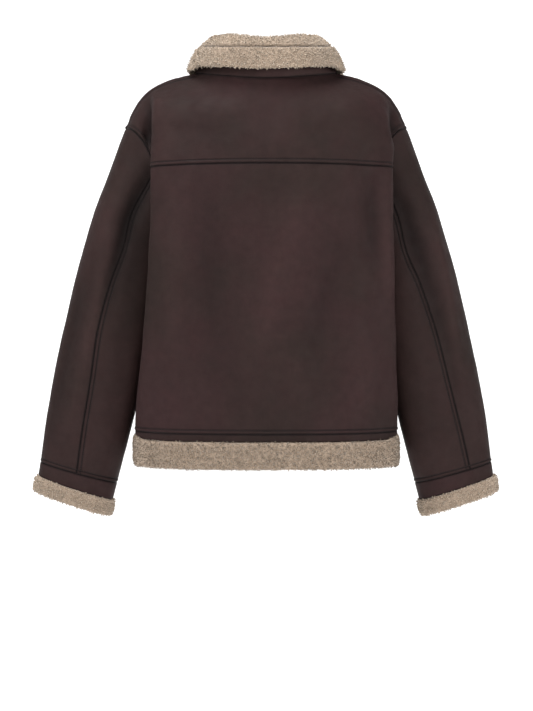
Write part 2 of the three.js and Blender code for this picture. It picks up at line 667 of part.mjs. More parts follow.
// Joins closed geometries into one.
const wasm = await Module();
wasm.setup();
function joined(pieces) {
  const solids = pieces.map((piece) => {
    piece.deleteAttribute("normal");
    piece.deleteAttribute("uv");
    const merged = mergeVertices(piece);
    const vertProperties = new Float32Array(merged.attributes.position.array);
    return new wasm.Manifold(
      new wasm.Mesh({ numProp: 3, vertProperties, triVerts: new Uint32Array(merged.index.array) }),
    );
  });
  const mesh = solids.reduce((sum, piece) => sum.add(piece)).getMesh();
  const geometry = new THREE.BufferGeometry();
  geometry.setAttribute("position", new THREE.BufferAttribute(mesh.vertProperties, 3));
  geometry.setIndex(new THREE.BufferAttribute(mesh.triVerts, 1));
  return geometry;
}
function pullGeometry() {
  const { wide, waist, tip, long, corner, thick, bar } = PULL;
  const neck = PULL_WINDOW.long + bar;
  const rightSide = [
    [wide / 2, -bar / 2],
    [wide / 2, neck],
    [waist / 2, neck + 2 * bar],
    [wide / 2, corner],
    [tip / 2, long],
  ];
  const leftSide = rightSide.map(([x, y]) => [-x, y]).reverse();
  const outline = [...rightSide, ...leftSide];
  const half = PULL_WINDOW.wide / 2;
  const hole = [
    [-half, bar / 2],
    [-half, bar / 2 + PULL_WINDOW.long],
    [half, bar / 2 + PULL_WINDOW.long],
    [half, bar / 2],
  ];
  return extruded(outline, [hole], -thick / 2, thick / 2).translate(0, PULL_AXIS.down, PULL_AXIS.out);
}

// Nodes
add("back_yoke", wall(yokeSheet), leather);
add("back_body", wall(backSheet), leather);
add("front_left", wall(frontSheets.left), leather);
add("front_right", wall(frontSheets.right), leather);
add("hem_band", wall(hemSheet), leather);
add("collar_stand", wall(standSheet, { inside: STAND_WALL }), leather);
for (const side of ["left", "right"]) {
  add("sleeve_top_" + side, wall(sleeves[side].top), leather);
  add("sleeve_under_" + side, wall(sleeves[side].under), leather);
  add("cuff_band_" + side, wall(sleeves[side].cuff), leather);
  add("cuff_fleece_" + side, roll(sleeves[side].places, CUFF_FLEECE, true), fleece);
}
add("zip_tape_left", zipStrip(-ZIP.tape, -ZIP.chain - SEAM_GAP, ZIP.tapeWall), tape);
add("zip_tape_right", zipStrip(ZIP.chain + SEAM_GAP, ZIP.tape, ZIP.tapeWall), tape);
add("zip_chain", zipStrip(-ZIP.chain, ZIP.chain, ZIP.chainWall), metal);
add("zip_slider", sliderGeometry().applyMatrix4(onZip), metal);
add("zip_pull", pullGeometry().applyMatrix4(onZip), metal);
add("hem_fleece", roll(hemPlaces, HEM_FLEECE, false), fleece);
add("collar_fleece", wall(collarSheet, { outside: COLLAR_CLOTH / 2, inside: COLLAR_CLOTH / 2 }), fleece);

export default jacket;
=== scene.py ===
# A short leather-faced jacket with a sherpa back, filled out as if worn and seen from behind.
import math

import bmesh
import bpy
import numpy as np
from mathutils import Matrix, Vector, kdtree, noise
from mathutils.bvhtree import BVHTree


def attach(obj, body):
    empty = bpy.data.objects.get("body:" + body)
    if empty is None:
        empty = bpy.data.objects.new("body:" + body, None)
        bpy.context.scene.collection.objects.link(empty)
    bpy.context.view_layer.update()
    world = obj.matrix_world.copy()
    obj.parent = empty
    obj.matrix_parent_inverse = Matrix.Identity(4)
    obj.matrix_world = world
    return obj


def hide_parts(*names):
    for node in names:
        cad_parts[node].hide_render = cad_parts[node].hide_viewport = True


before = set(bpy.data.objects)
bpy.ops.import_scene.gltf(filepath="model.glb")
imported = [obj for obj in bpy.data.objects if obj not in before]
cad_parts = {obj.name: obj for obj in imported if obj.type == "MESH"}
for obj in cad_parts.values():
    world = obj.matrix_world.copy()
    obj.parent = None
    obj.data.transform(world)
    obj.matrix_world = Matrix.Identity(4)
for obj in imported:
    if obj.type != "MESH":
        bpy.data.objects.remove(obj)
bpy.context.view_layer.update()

# Driving sizes, in millimetres
MM = 0.001
CLOTH = 3.0
CENTRE_FRONT = 7.0
HEM_BAND = 17.0
HEM_CORNER = 6.0  # how much higher the fleece of the hem ends at the sides
HEM_LEAN = 2.2  # how far the hem strip leans in towards its lower edge
SEAM_GAP = 0.3
HEM_FLEECE = {"height": 42.0, "proud": 6.0, "inside": 5.0}
CUFF_FLEECE = {"height": 26.0, "proud": 6.0, "inside": 4.0}
COLLAR_CLOTH = 9.0
COLLAR_CLEARANCE = 2.5
STAND_WALL = 2.5
STAND_GAP = 0.8
STAND_TUCK = 0.08  # share of its height that the stand reaches down inside the neck seam
TUCKED = 2.4  # how far fleece reaches up into the cloth above it
PILE = 1.7  # how far the tufts of the fleece stand out of its ground
STITCH_ROW = 6.4  # from a join to the row of stitches beside it
SHOULDER_ROW = 14.0
CALM = 12.0  # creases die out over this distance beside armholes, shoulders and side seams
STITCH = {"pitch": 3.6, "long": 2.9, "thick": 0.7, "lift": -0.1}
CREASE_DEPTH = 1.6
LAP = 3.2  # a join lies this far from the middle of its double line
ZIP = {"chain": 2.6, "tape": 6.7, "gap": 0.3, "pitch": 2.5}

# The pattern of the body, from the neck to the hem
NECK_POINT = (118, -9, 5)
NECKLINE = {
    "back": [(0, -88, -11), (72, -66, -5), NECK_POINT],
    "front": [(0, 98, -76), (76, 76, -46), NECK_POINT],
}
SHOULDER = [NECK_POINT, (152, -5, -3), (190, -3, -21), (215, -1, -48), (232, 0, -86)]
ARMHOLE = [
    (232, 0, -86), (218, -35, -90), (197, -50, -113), (176, -58, -158), (163, -55, -203), (154, -38, -241),
    (149, 5, -264), (155, 44, -242), (166, 64, -203), (180, 66, -158), (201, 56, -113), (220, 35, -90),
]
SIDE_SEAM = [(149, 5, -264), (150, 9, -340), (167, 10, -430), (198, 8, -515), (210, 5, -576)]
# Columns: mid y and z, fold x left and right, fold y and z, tuck x left and right, tuck y and z
BODY_ROWS = {
    "back": [
        (-110, -56, 186, 187, -54, -46, 203, 205, -43, -66),
        (-125, -106, 187, 204, -75, -104, 190, 204, -52, -108),
        (-131, -146, 184, 203, -86, -150, 180, 195, -70, -156),
        (-133, -200, 185, 203, -88, -203, 175, 187, -71, -204),
        (-133, -242, 186, 203, -89, -245, 166, 172, -68, -245),
        (-132, -268, 187, 204, -89, -268, 160, 162, -58, -267),
        (-130, -340, 192, 206, -84, -340, 168, 172, -44, -340),
        (-128, -430, 199, 209, -78, -430, 184, 188, -38, -430),
        (-127, -515, 206, 211, -66, -515, 208, 209, -28, -515),
        (-127, -576, 208, 210, -62, -576, 214, 214, -26, -576),
    ],
    "front": [
        (106, -102, 188, 188, 44, -50, 206, 206, 38, -68),
        (113, -132, 178, 178, 74, -112, 190, 190, 66, -112),
        (118, -168, 165, 165, 88, -160, 174, 174, 78, -158),
        (121, -207, 158, 158, 94, -205, 165, 165, 82, -203),
        (123, -244, 155, 155, 97, -244, 161, 161, 74, -243),
        (124, -268, 155, 155, 98, -268, 160, 160, 56, -266),
        (124, -340, 160, 160, 96, -340, 167, 167, 56, -340),
        (123, -430, 171, 171, 93, -430, 181, 181, 56, -430),
        (122, -515, 186, 186, 88, -515, 202, 202, 52, -515),
        (122, -576, 190, 190, 86, -576, 210, 210, 48, -576),
    ],
}
# Columns: share of the panel's width, depth and drop
ROUNDING = [(0.34, 0.05, 0.1), (0.66, 0.22, 0.4), (0.88, 0.58, 0.75)]
NECK_EDGE, FOLD_EDGE, EDGE = 2, 4, 6
YOKE_ROW, UNDERARM_ROW, HEM_ROW = 3, 6, 10
# Columns: x at the top and foot, z at the top and foot, width, depth
BACK_FOLDS = [
    (160, 158, -75, -345, 15, 5),
    (60, -28, -215, -560, 34, 3.5),
    (118, 78, -300, -575, 26, 3),
    (-78, -104, -230, -580, 30, 3.5),
    (-152, -168, -190, -430, 14, 3),
]

# The pattern of a sleeve
# Columns: outer x and z, inner x and z, middle y, depth, back seam left and right
SLEEVE_SECTIONS = [
    (263, -168, 164, -288, 5, 60, 3.0, 3.12),
    (290, -243, 174, -324, 9, 60, 3.1, 3.22),
    (313, -322, 182, -374, 13, 58, 2.93, 2.98),
    (332, -401, 196, -444, 18, 55, 2.87, 2.77),
    (350, -481, 210, -519, 24, 51, 2.96, 2.67),
    (365, -560, 229, -598, 31, 45, 3.02, 2.56),
    (376, -637, 248, -672, 37, 39, 3.09, 2.42),
    (380, -661, 256, -702, 39, 37, 3.09, 2.42),
]
CUFF_SEAM, CUFF_END, ROUND = 7, 8, 12
SECTION_SQUARENESS = 0.9
SLEEVE_BACK_SEAM, SLEEVE_FRONT_SEAM = 3, 8.5
TURN_MM, SECTION_MM = 30, 78  # about one control point round a sleeve, and one section down it

# The collar. Columns: along, roll out and up, fall out and up, spread, height of the stand
COLLAR_SECTIONS = np.array([
    (0, -6, 69, 20, 14, 0, 36),
    (0.7, -8, 71, 20, 14, 0, 35),
    (1.4, -18, 67, 15, 13, 0, 33),
    (2, -29, 59, 12, 4, 0, 29),
    (3, -16, 50, 21, -24, 0, 21),
    (3.6, -12, 46, 24, -33, 8, 17),
    (4, -11, 44, 25, -36, 24, 15),
], float)
ROLL_OUT, ROLL_UP, FALL_OUT, FALL_UP, SPREAD, STAND = range(1, 7)
NECK_END = 4
NECK_REACH = 0.05
COLLAR_SEAM_DROP = 16.5  # from the top of the roll down to the seam along the outside of the collar
COLLAR_SEAM_RISE = 0.13  # how steeply that seam climbs towards the front
INNER_EDGE, INNER_BEND = 0.1, 0.72
FALL_BEND = (0.62, 0.36)

# Creases in the cloth, as soft troughs, or ridges where the depth is below nothing
# Columns: x and z of one end, x and z of the other, width, depth
CREASES = {
    "back": [
        (-191, -28, -195, -168, 6, 6.5),
        (-174, -28, -177, -100, 8, -1.8),
        (-158, -40, -164, -190, 20, -2.0),
        (205, -45, 211, -120, 6, 4.0),
        (168, -150, 172, -330, 12, 3.2),
        (193, -160, 196, -400, 10, -1.8),
        (78, -120, -34, -500, 26, -2.6),
        (128, -250, 62, -470, 17, 1.8),
        (-96, -150, -78, -540, 24, 1.9),
        (-146, -170, -150, -480, 18, -1.8),
        (-60, -380, -40, -570, 16, 0.9),
        (20, -410, 66, -570, 20, -1.1),
        (-120, -60, -60, -140, 22, 1.0),
        (60, -40, 10, -140, 26, -0.9),
        (150, -420, 160, -570, 22, -1.3),
    ],
    "front": [
        (-150, -120, -60, -260, 17, 2.2),
        (-120, -105, -40, -210, 13, -1.5),
        (146, -128, 70, -240, 15, 2.0),
        (118, -104, 44, -190, 12, -1.3),
        (-96, -260, -110, -560, 24, 2.0),
        (-52, -300, -70, -560, 20, -1.5),
        (84, -280, 104, -560, 22, 1.9),
        (46, -330, 40, -555, 16, -1.2),
        (136, -300, 152, -520, 15, -1.6),
        (-140, -320, -158, -540, 14, -1.4),
    ],
}
# Columns: turn and section of one end, turn and section of the other, width, depth
SLEEVE_CREASES = {
    -1: [
        (2.92, -0.8, 2.78, 3.8, 11, 6.0),
        (2.55, 1.5, 2.4, 6.4, 9, -3.0),
        (1.5, 3.0, 1.3, 6.6, 14, 2.4),
        (1.6, 0.4, 1.9, 2.6, 16, -1.6),
        (4.9, 1.2, 4.7, 6.9, 24, -3.2),
        (3.6, 0.6, 3.5, 3.2, 18, 2.2),
        (-1.0, 0.7, -1.4, 3.8, 14, 2.2),
        (-2.4, 1.0, -1.2, 2.6, 12, 1.8),
        (-2.9, 2.6, -1.6, 3.9, 11, 1.6),
        (-2.6, 3.4, -0.9, 4.6, 10, -1.4),
        (6.2, 1.6, 7.8, 2.6, 12, 2.2),
        (6.0, 3.0, 8.1, 3.7, 11, 1.8),
    ],
    1: [
        (3.0, -0.8, 2.4, 4.6, 14, 4.6),
        (2.4, 3.4, 2.25, 6.2, 7, 1.6),
        (1.3, 1.4, 1.95, 5.2, 11, -2.6),
        (4.9, 1.2, 4.7, 6.9, 24, -3.2),
        (3.9, 1.6, 3.7, 5.6, 20, -1.2),
        (-0.9, 0.5, -1.2, 3.2, 13, 2.0),
        (-2.6, 1.3, -1.1, 2.4, 11, 1.7),
        (-2.8, 2.9, -1.3, 4.3, 12, 1.8),
        (-2.2, 3.9, -0.7, 5.0, 9, -1.3),
        (6.4, 1.9, 8.0, 2.9, 12, 2.0),
        (5.9, 3.5, 7.9, 4.2, 10, 1.6),
    ],
}


# Curves and surfaces
def mirrored(points, sign):
    return np.array(points, float) * (sign, 1, 1)


def mix(a, b, t):
    return a + (b - a) * t


def smooth(t):
    t = np.clip(t, 0, 1)
    return t * t * (3 - 2 * t)


def unit(v):
    return v / np.maximum(np.linalg.norm(v, axis=-1, keepdims=True), 1e-9)


def through(points, t, closed=False):
    """Places on the smooth curve through points, t counted in points. Points may differ for each t."""
    t = np.asarray(t, float)
    n = len(points)
    if closed:
        first = np.floor(t).astype(int)
        picked = [(first + k) % n for k in (-1, 0, 1, 2)]
    else:
        first = np.clip(np.floor(t).astype(int), 0, n - 2)
        picked = [first + k for k in range(4)]
        before, after = 2 * points[:1] - points[1:2], 2 * points[-1:] - points[-2:-1]
        points = np.concatenate([before, points, after])
    f = (t - first)[:, None]
    weights = (
        ((-f + 2) * f - 1) * f / 2,
        ((3 * f - 5) * f * f + 2) / 2,
        ((-3 * f + 4) * f + 1) * f / 2,
        (f - 1) * f * f / 2,
    )
    each = np.arange(len(t))
    return sum(w * (points[k] if points.ndim == 2 else points[k, each]) for w, k in zip(weights, picked))


def edge_point(face, sign, v):
    turn = v if face == "back" else ROUND - v
    armhole = through(mirrored(ARMHOLE, sign), turn, closed=True)
    side = through(mirrored(SIDE_SEAM, sign), v - UNDERARM_ROW)
    return np.where((v > UNDERARM_ROW)[:, None], side, armhole)


def top_row(face, u):
    half = np.array(NECKLINE[face], float)
    neck = np.concatenate([mirrored(half[:0:-1], -1), half])
    out = np.abs(u)
    shoulder = through(np.array(SHOULDER, float), out - NECK_EDGE)
    shoulder[:, 0] *= np.copysign(1, u)
    return np.where((out > NECK_EDGE)[:, None], shoulder, through(neck, u + NECK_EDGE))


def half_row(face, sign, v):
    mid_y, mid_z, *folds = BODY_ROWS[face][v - 1]
    fold_x = sign * folds[0 if sign < 0 else 1]
    fold_y, fold_z = folds[2:4]
    tuck = (sign * folds[4 if sign < 0 else 5], *folds[6:8])
    between = [(fold_x * w, mix(mid_y, fold_y, d), mix(mid_z, fold_z, drop)) for w, d, drop in ROUNDING]
    edge = edge_point(face, sign, np.array([float(v)]))[0]
    return [*between, (fold_x, fold_y, fold_z), tuck, tuple(edge)]


def row_point(face, u, v):
    if v == 0:
        return top_row(face, u)
    mid = (0, *BODY_ROWS[face][v - 1][:2])
    points = [*half_row(face, -1, v)[::-1], mid, *half_row(face, 1, v)]
    return through(np.array(points, float), u + EDGE)


def fold_depth(x, z):
    depth = np.zeros_like(x)
    for top_x, foot_x, top_z, foot_z, width, deep in BACK_FOLDS:
        down = np.clip((top_z - z) / (top_z - foot_z), 0, 1)
        across = (x - mix(top_x, foot_x, down)) / width
        depth += deep * np.sin(np.pi * down) * np.exp(-across * across)
    return depth


def body(face, u, v):
    """The outer face of the body at u across, from the centre, and v rows down."""
    u, v = np.broadcast_arrays(np.asarray(u, float), np.asarray(v, float))
    rows = range(HEM_ROW + 1)
    p = through(np.stack([row_point(face, u, row) for row in rows]), v)
    out = np.abs(u)
    for sign in (-1, 1):
        rim = np.stack([row_point(face, np.array([float(sign * EDGE)]), row)[0] for row in rows])
        share = np.clip((out - FOLD_EDGE) / (EDGE - FOLD_EDGE), 0, None) ** 2 * (np.copysign(1, u) == sign)
        p += (edge_point(face, sign, v) - through(rim, v)) * share[:, None]
    if face == "back":
        p[:, 1] += fold_depth(p[:, 0], p[:, 2]) * (1 - smooth(out - FOLD_EDGE))
    else:
        p[:, 0] += np.copysign(1, u) * CENTRE_FRONT * np.clip(1 - out / NECK_EDGE, 0, None) ** 2
    return p


def squared(w, power=SECTION_SQUARENESS):
    return np.sign(w) * np.abs(w) ** power


def sleeve(sign, turn, s):
    """The outer face of a sleeve at turn control points round it and s sections down it."""
    turn, s = np.broadcast_arrays(np.asarray(turn, float), np.asarray(s, float))
    angle = turn / ROUND * 2 * np.pi
    across, deep = (squared(np.cos(angle)) + 1) / 2, squared(np.sin(angle))
    sections = [through(mirrored(ARMHOLE, sign), turn, closed=True)]
    for outer_x, outer_z, inner_x, inner_z, mid_y, depth, _, _ in SLEEVE_SECTIONS:
        x, z = sign * mix(inner_x, outer_x, across), mix(inner_z, outer_z, across)
        sections.append(np.stack([x, mid_y - depth * deep, z], axis=1))
    return through(np.stack(sections), s)


def back_seam(sign, s):
    turns = [SLEEVE_BACK_SEAM, *(row[6 if sign < 0 else 7] for row in SLEEVE_SECTIONS)]
    return through(np.array(turns)[:, None], s)[:, 0]


def neck_at(w):
    back = top_row("back", np.minimum(w, NECK_EDGE))
    front = body("front", np.clip(NECK_END - w, 0, NECK_EDGE), np.zeros_like(w))
    return np.where((w <= NECK_EDGE)[:, None], back, front)


def neck_place(along):
    out = np.minimum(np.abs(along), NECK_END)
    point = neck_at(out)
    run = neck_at(np.minimum(NECK_END, out + NECK_REACH)) - neck_at(np.maximum(0, out - NECK_REACH))
    outward = unit(np.stack([-run[:, 1], run[:, 0], 0 * out], axis=1))
    outward *= np.where((outward * point)[:, :2].sum(axis=1) < 0, -1, 1)[:, None]
    for v in (point, outward):
        v[:, 0] *= np.copysign(1, along)
    return point, outward


def collar_size(along, column):
    out = np.abs(along)
    stops = COLLAR_SECTIONS[:, 0]
    k = np.clip(np.searchsorted(stops, out) - 1, 0, len(stops) - 2)
    t = smooth((out - stops[k]) / (stops[k + 1] - stops[k]))
    return mix(COLLAR_SECTIONS[k, column], COLLAR_SECTIONS[k + 1, column], t)


def stand(up, along):
    point, outward = neck_place(along)
    height = collar_size(along, STAND) * up
    lean = collar_size(along, ROLL_OUT) * height / collar_size(along, ROLL_UP)
    p = point + outward * lean[:, None]
    p[:, 2] += STAND_GAP + height
    return p


def collar(w, along):
    """The middle of the fleece collar: w is 0 at its inner edge, 2 on the roll and 4 at the edge of the fall."""
    point, outward = neck_place(along)
    roll_out, fall_out, fall_up, spread = (collar_size(along, c) for c in (ROLL_OUT, FALL_OUT, FALL_UP, SPREAD))
    roll_up = collar_size(along, ROLL_UP) - COLLAR_CLOTH / 2
    inside = COLLAR_CLOTH / 2 + STAND_WALL + 1.2
    line = np.stack([
        np.stack([roll_out * INNER_EDGE - inside, roll_up * INNER_EDGE], axis=1),
        np.stack([roll_out * INNER_BEND - inside, roll_up * INNER_BEND], axis=1),
        np.stack([roll_out, roll_up], axis=1),
        np.stack([mix(roll_out, fall_out, FALL_BEND[0]), mix(roll_up, fall_up, FALL_BEND[1])], axis=1),
        np.stack([fall_out, fall_up], axis=1),
    ])
    at = through(line, w)
    p = point + outward * at[:, :1]
    p[:, 2] += at[:, 1]
    p[:, 0] += np.copysign(1, along) * spread * np.maximum(0, (w - 2) / 2)
    return p


# Meshes
def length_along(points):
    return np.concatenate([[0], np.cumsum(np.linalg.norm(np.diff(points, axis=0), axis=1))])


def evenly(points, step):
    """The same line with places step apart."""
    run = length_along(points)
    stops = np.linspace(0, run[-1], max(2, int(round(run[-1] / step)) + 1))
    return np.stack([np.interp(stops, run, points[:, k]) for k in range(3)], axis=1)


def nearest_tree(points):
    tree = kdtree.KDTree(len(points))
    for k, p in enumerate(points):
        tree.insert(p, k)
    tree.balance()
    return tree


def distance_to(points, line):
    tree = nearest_tree(evenly(line, 0.5))
    return np.array([tree.find(p)[2] for p in points])


def normals_of(grid, wraps=False):
    """The outward way at each place of a grid."""
    if wraps:
        round_it = (np.roll(grid, -1, axis=1) - np.roll(grid, 1, axis=1)) / 2
    else:
        round_it = np.gradient(grid, axis=1)
    normals = unit(np.cross(np.gradient(grid, axis=0), round_it))
    middle = grid.mean(axis=1, keepdims=True) if wraps else grid.reshape(-1, 3).mean(axis=0)
    return normals * (1 if (normals * (grid - middle)).sum() > 0 else -1)


def bumps(points, size, seed):
    """Soft noise from -1 to 1 with features of that size."""
    return np.array([noise.noise(Vector(p) / size + Vector((seed, 0, 0))) for p in points.reshape(-1, 3)])


def quads(ids, wraps=False):
    """Faces over a grid of vertex numbers."""
    if wraps:
        ids = np.concatenate([ids, ids[:, :1]], axis=1)
    return np.stack([ids[:-1, :-1], ids[1:, :-1], ids[1:, 1:], ids[:-1, 1:]], axis=-1).reshape(-1, 4)


def make_mesh(name, points, faces, materials, second=None, **values):
    """A mesh object from points in millimetres. second marks the faces with the second material."""
    mesh = bpy.data.meshes.new(name)
    mesh.from_pydata((np.asarray(points) * MM).tolist(), [], [list(f) for f in faces])
    for material in materials:
        mesh.materials.append(material)
    if second is not None:
        mesh.polygons.foreach_set("material_index", np.asarray(second, np.int32))
    for label, value in values.items():
        mesh.attributes.new(label, "FLOAT", "POINT").data.foreach_set("value", np.asarray(value, np.float32))
    mesh.shade_smooth()
    piece = bpy.data.objects.new(name, mesh)
    bpy.context.scene.collection.objects.link(piece)
    return piece


def turned_out(piece):
    """Turns a closed mesh so that its faces point out."""
    work = bmesh.new()
    work.from_mesh(piece.data)
    if work.calc_volume(signed=True) < 0:
        bmesh.ops.reverse_faces(work, faces=work.faces)
    work.to_mesh(piece.data)
    work.free()
    return piece


def closed_wall(name, outer, inner, materials, wraps=False, **values):
    """A closed wall between two grids. The second material is on the inner one."""
    n, m = outer.shape[:2]
    ids = np.arange(n * m).reshape(n, m)
    back = ids + n * m
    rims = [quads(np.stack([back[0], ids[0]]), wraps), quads(np.stack([ids[-1], back[-1]]), wraps)]
    if not wraps:
        rims += [quads(np.stack([ids[:, 0], back[:, 0]])), quads(np.stack([back[:, -1], ids[:, -1]]))]
    skin = quads(ids, wraps)
    faces = np.concatenate([skin, quads(back, wraps)[:, ::-1], *rims])
    second = np.zeros(len(faces), np.int32)
    second[len(skin) : 2 * len(skin)] = len(materials) - 1
    points = np.concatenate([outer.reshape(-1, 3), inner.reshape(-1, 3)])
    values = {label: np.concatenate([v.ravel(), 0 * v.ravel()]) for label, v in values.items()}
    piece = turned_out(make_mesh(name, points, faces, materials, second, **values))
    piece.data.set_sharp_from_angle(angle=math.radians(55))
    return piece


# Distances of the first rows and columns of a panel from its edge
BY_EDGE = np.array([0, 0.4, 0.8, 1.3, 2, 3, 4.2, 5.2, 5.8, 6.4, 7, 7.6, 8.6, 10.2, 12.8])
PANEL_STEP = 5.0


def graded(length, step=PANEL_STEP, start=True, end=True):
    """Places along a length: close together at its stitched ends, step apart between them."""
    near = BY_EDGE[BY_EDGE < length * (0.48 if start and end else 0.9)]
    first = near if start else BY_EDGE[:1]
    last = length - (near if end else BY_EDGE[:1])[::-1]
    count = max(1, int(round((last[0] - first[-1]) / step)))
    return np.concatenate([first, np.linspace(first[-1], last[0], count + 1)[1:-1], last])


def stops_along(surface, across, step, start, end):
    """Shares from 0 to 1 across or down the middle of a surface, closer together by its edges."""
    t = np.linspace(0, 1, 200)
    half = np.full_like(t, 0.5)
    run = length_along(surface(t, half) if across else surface(half, t))
    return np.interp(graded(run[-1], step, start, end), run, t)


def crease_relief(a, b, creases):
    """How far creases move the face out, at a across and b down, both in millimetres."""
    relief = np.zeros_like(a)
    for a1, b1, a2, b2, width, depth in creases:
        run = math.hypot(a2 - a1, b2 - b1)
        way = ((a2 - a1) / run, (b2 - b1) / run)
        along = np.clip(((a - a1) * way[0] + (b - b1) * way[1]) / run, 0, 1)
        off = ((a - a1) * way[1] - (b - b1) * way[0]) / width
        relief -= CREASE_DEPTH * depth * np.sin(np.pi * along) ** 0.8 * np.exp(-off * off)
    return relief


def seam_relief(points, joins):
    """How far joins move the face, how deep in a groove a place is, and its share of the creases.

    Each join has the distance of its row of stitches, and that over which creases die out beside it, or 0.
    """
    relief, groove, share = np.zeros(len(points)), np.zeros(len(points)), np.ones(len(points))
    for line, row_at, calm in joins:
        d = distance_to(points, line)
        relief -= 1.2 * np.exp(-((d / 1.3) ** 2))
        groove = np.maximum(groove, np.exp(-((d / 1.9) ** 2)))
        if row_at:
            relief += 0.6 * bumps(points, 9, 5.5) * np.exp(-((d / 10) ** 2))
            row = (d - row_at) / (row_at / 5)
            relief += 0.55 * smooth(d / 2) * (1 - smooth((d - row_at) / 2.5)) - 1.0 * np.exp(-row * row)
            groove = np.maximum(groove, 0.9 * np.exp(-row * row))
        if calm:
            share = np.minimum(share, smooth(d / calm))
    return relief, groove, share


class Panel:
    """One cut piece of the leather-faced cloth. surface takes shares across and down, from 0 to 1."""

    def __init__(self, name, surface, joins, materials, creases=(), flat=None, wraps=False, edges=(1, 1, 1, 1)):
        self.surface = surface
        left, right, top, foot = edges
        p = np.linspace(0, 1, 73)[:-1] if wraps else stops_along(surface, True, PANEL_STEP, left, right)
        q = stops_along(surface, False, PANEL_STEP, top, foot)
        across, down = (g.ravel() for g in np.meshgrid(p, q))
        grid = surface(across, down).reshape(len(q), len(p), 3)
        normals = normals_of(grid, wraps)
        places = grid.reshape(-1, 3)
        relief, groove, share = seam_relief(places, joins)
        a, b = flat(across, down) if flat else (places[:, 0], places[:, 2])
        creased = crease_relief(a, b, creases)
        folds = creased * share + 0.9 * bumps(places, 62, 3.7) + 0.35 * bumps(places, 21, 8.1)
        outer = grid + normals * (relief + folds).reshape(*grid.shape[:2], 1)
        inner = grid + normals * (folds - CLOTH + 0.5 * bumps(places, 6, 1.3)).reshape(*grid.shape[:2], 1)
        # The fold attribute paints shade into crease troughs and light onto crease ridges; it keeps the full creases
        # where their relief is calmed.
        self.piece = closed_wall(name, outer, inner, materials, wraps, groove=groove, fold=(folds + creased * (1 - share)) / 5)
        self.skin = BVHTree.FromPolygons(
            outer.reshape(-1, 3).tolist(), quads(np.arange(len(p) * len(q)).reshape(len(q), len(p))).tolist()
        )

    def row(self, path, inward, distance=STITCH_ROW):
        """A line on the face at a distance from an edge. path holds its shares across and down."""
        step = 0.002
        path = np.asarray(path, float)
        edge = self.surface(*path.T)
        into = self.surface(*(path + np.multiply(inward, step)).T) - edge
        along = unit(np.gradient(edge, axis=0))
        square = into - (into * along).sum(axis=1, keepdims=True) * along
        reach = distance / np.linalg.norm(square, axis=1) * step
        return self.surface(*(path + np.outer(reach, inward)).T)


def side(p=None, q=None, count=160):
    """Shares along one edge of a panel, where either p or q is fixed."""
    t = np.linspace(0, 1, count)
    return np.stack([t if p is None else 0 * t + p, t if q is None else 0 * t + q], axis=1)


# Materials
class Nodes:
    """A material's nodes, with a short way to add and join them."""

    def __init__(self, name):
        self.material = bpy.data.materials.new(name)
        self.material.use_nodes = True
        self.nodes = self.material.node_tree.nodes
        self.links = self.material.node_tree.links
        self.shader = self.nodes["Principled BSDF"]
        self.place = self.add("ShaderNodeTexCoord").outputs["Object"]

    def add(self, kind, settings=(), **inputs):
        node = self.nodes.new(kind)
        for label, value in dict(settings).items():
            setattr(node, label, value)
        for label, value in inputs.items():
            self.set(node, label, value)
        return node

    def set(self, node, label, value):
        socket = node.inputs[int(label[1:])] if label[0] == "_" else node.inputs[label.replace("_", " ")]
        if isinstance(value, bpy.types.NodeSocket):
            self.links.new(value, socket)
        else:
            socket.default_value = value

    def noise(self, scale, detail=3.0, roughness=0.55):
        made = self.add("ShaderNodeTexNoise", Vector=self.place, Scale=scale, Detail=detail, Roughness=roughness)
        return made.outputs["Fac"]

    def cells(self, scale):
        return self.add("ShaderNodeTexVoronoi", Vector=self.place, Scale=scale).outputs["Distance"]

    def attribute(self, name):
        return self.add("ShaderNodeAttribute", {"attribute_name": name}).outputs["Fac"]

    def ramp(self, factor, *stops):
        node = self.add("ShaderNodeValToRGB", Fac=factor)
        band = node.color_ramp
        while len(band.elements) < len(stops):
            band.elements.new(0.5)
        for element, (at, color) in zip(band.elements, stops):
            element.position = at
            element.color = color
        return node.outputs["Color"]

    def blend(self, factor, a, b, how="MIX"):
        node = self.add("ShaderNodeMix", {"data_type": "RGBA", "blend_type": how}, _0=factor, _6=a, _7=b)
        return node.outputs[2]

    def range(self, value, low, high, to_low, to_high):
        sizes = {"_1": low, "_2": high, "_3": to_low, "_4": to_high}
        return self.add("ShaderNodeMapRange", Value=value, **sizes).outputs["Result"]

    def bump(self, height, distance, strength=1.0, under=None):
        more = {} if under is None else {"Normal": under}
        node = self.add("ShaderNodeBump", Height=height, Distance=distance, Strength=strength, **more)
        return node.outputs["Normal"]

    def finish(self, **inputs):
        for label, value in inputs.items():
            self.set(self.shader, label, value)
        return self.material


def tone(red, green, blue):
    """A colour from its three screen values, 0 to 255."""
    return (*(((c / 255 + 0.055) / 1.055) ** 2.4 if c > 10 else c / 3295 for c in (red, green, blue)), 1.0)


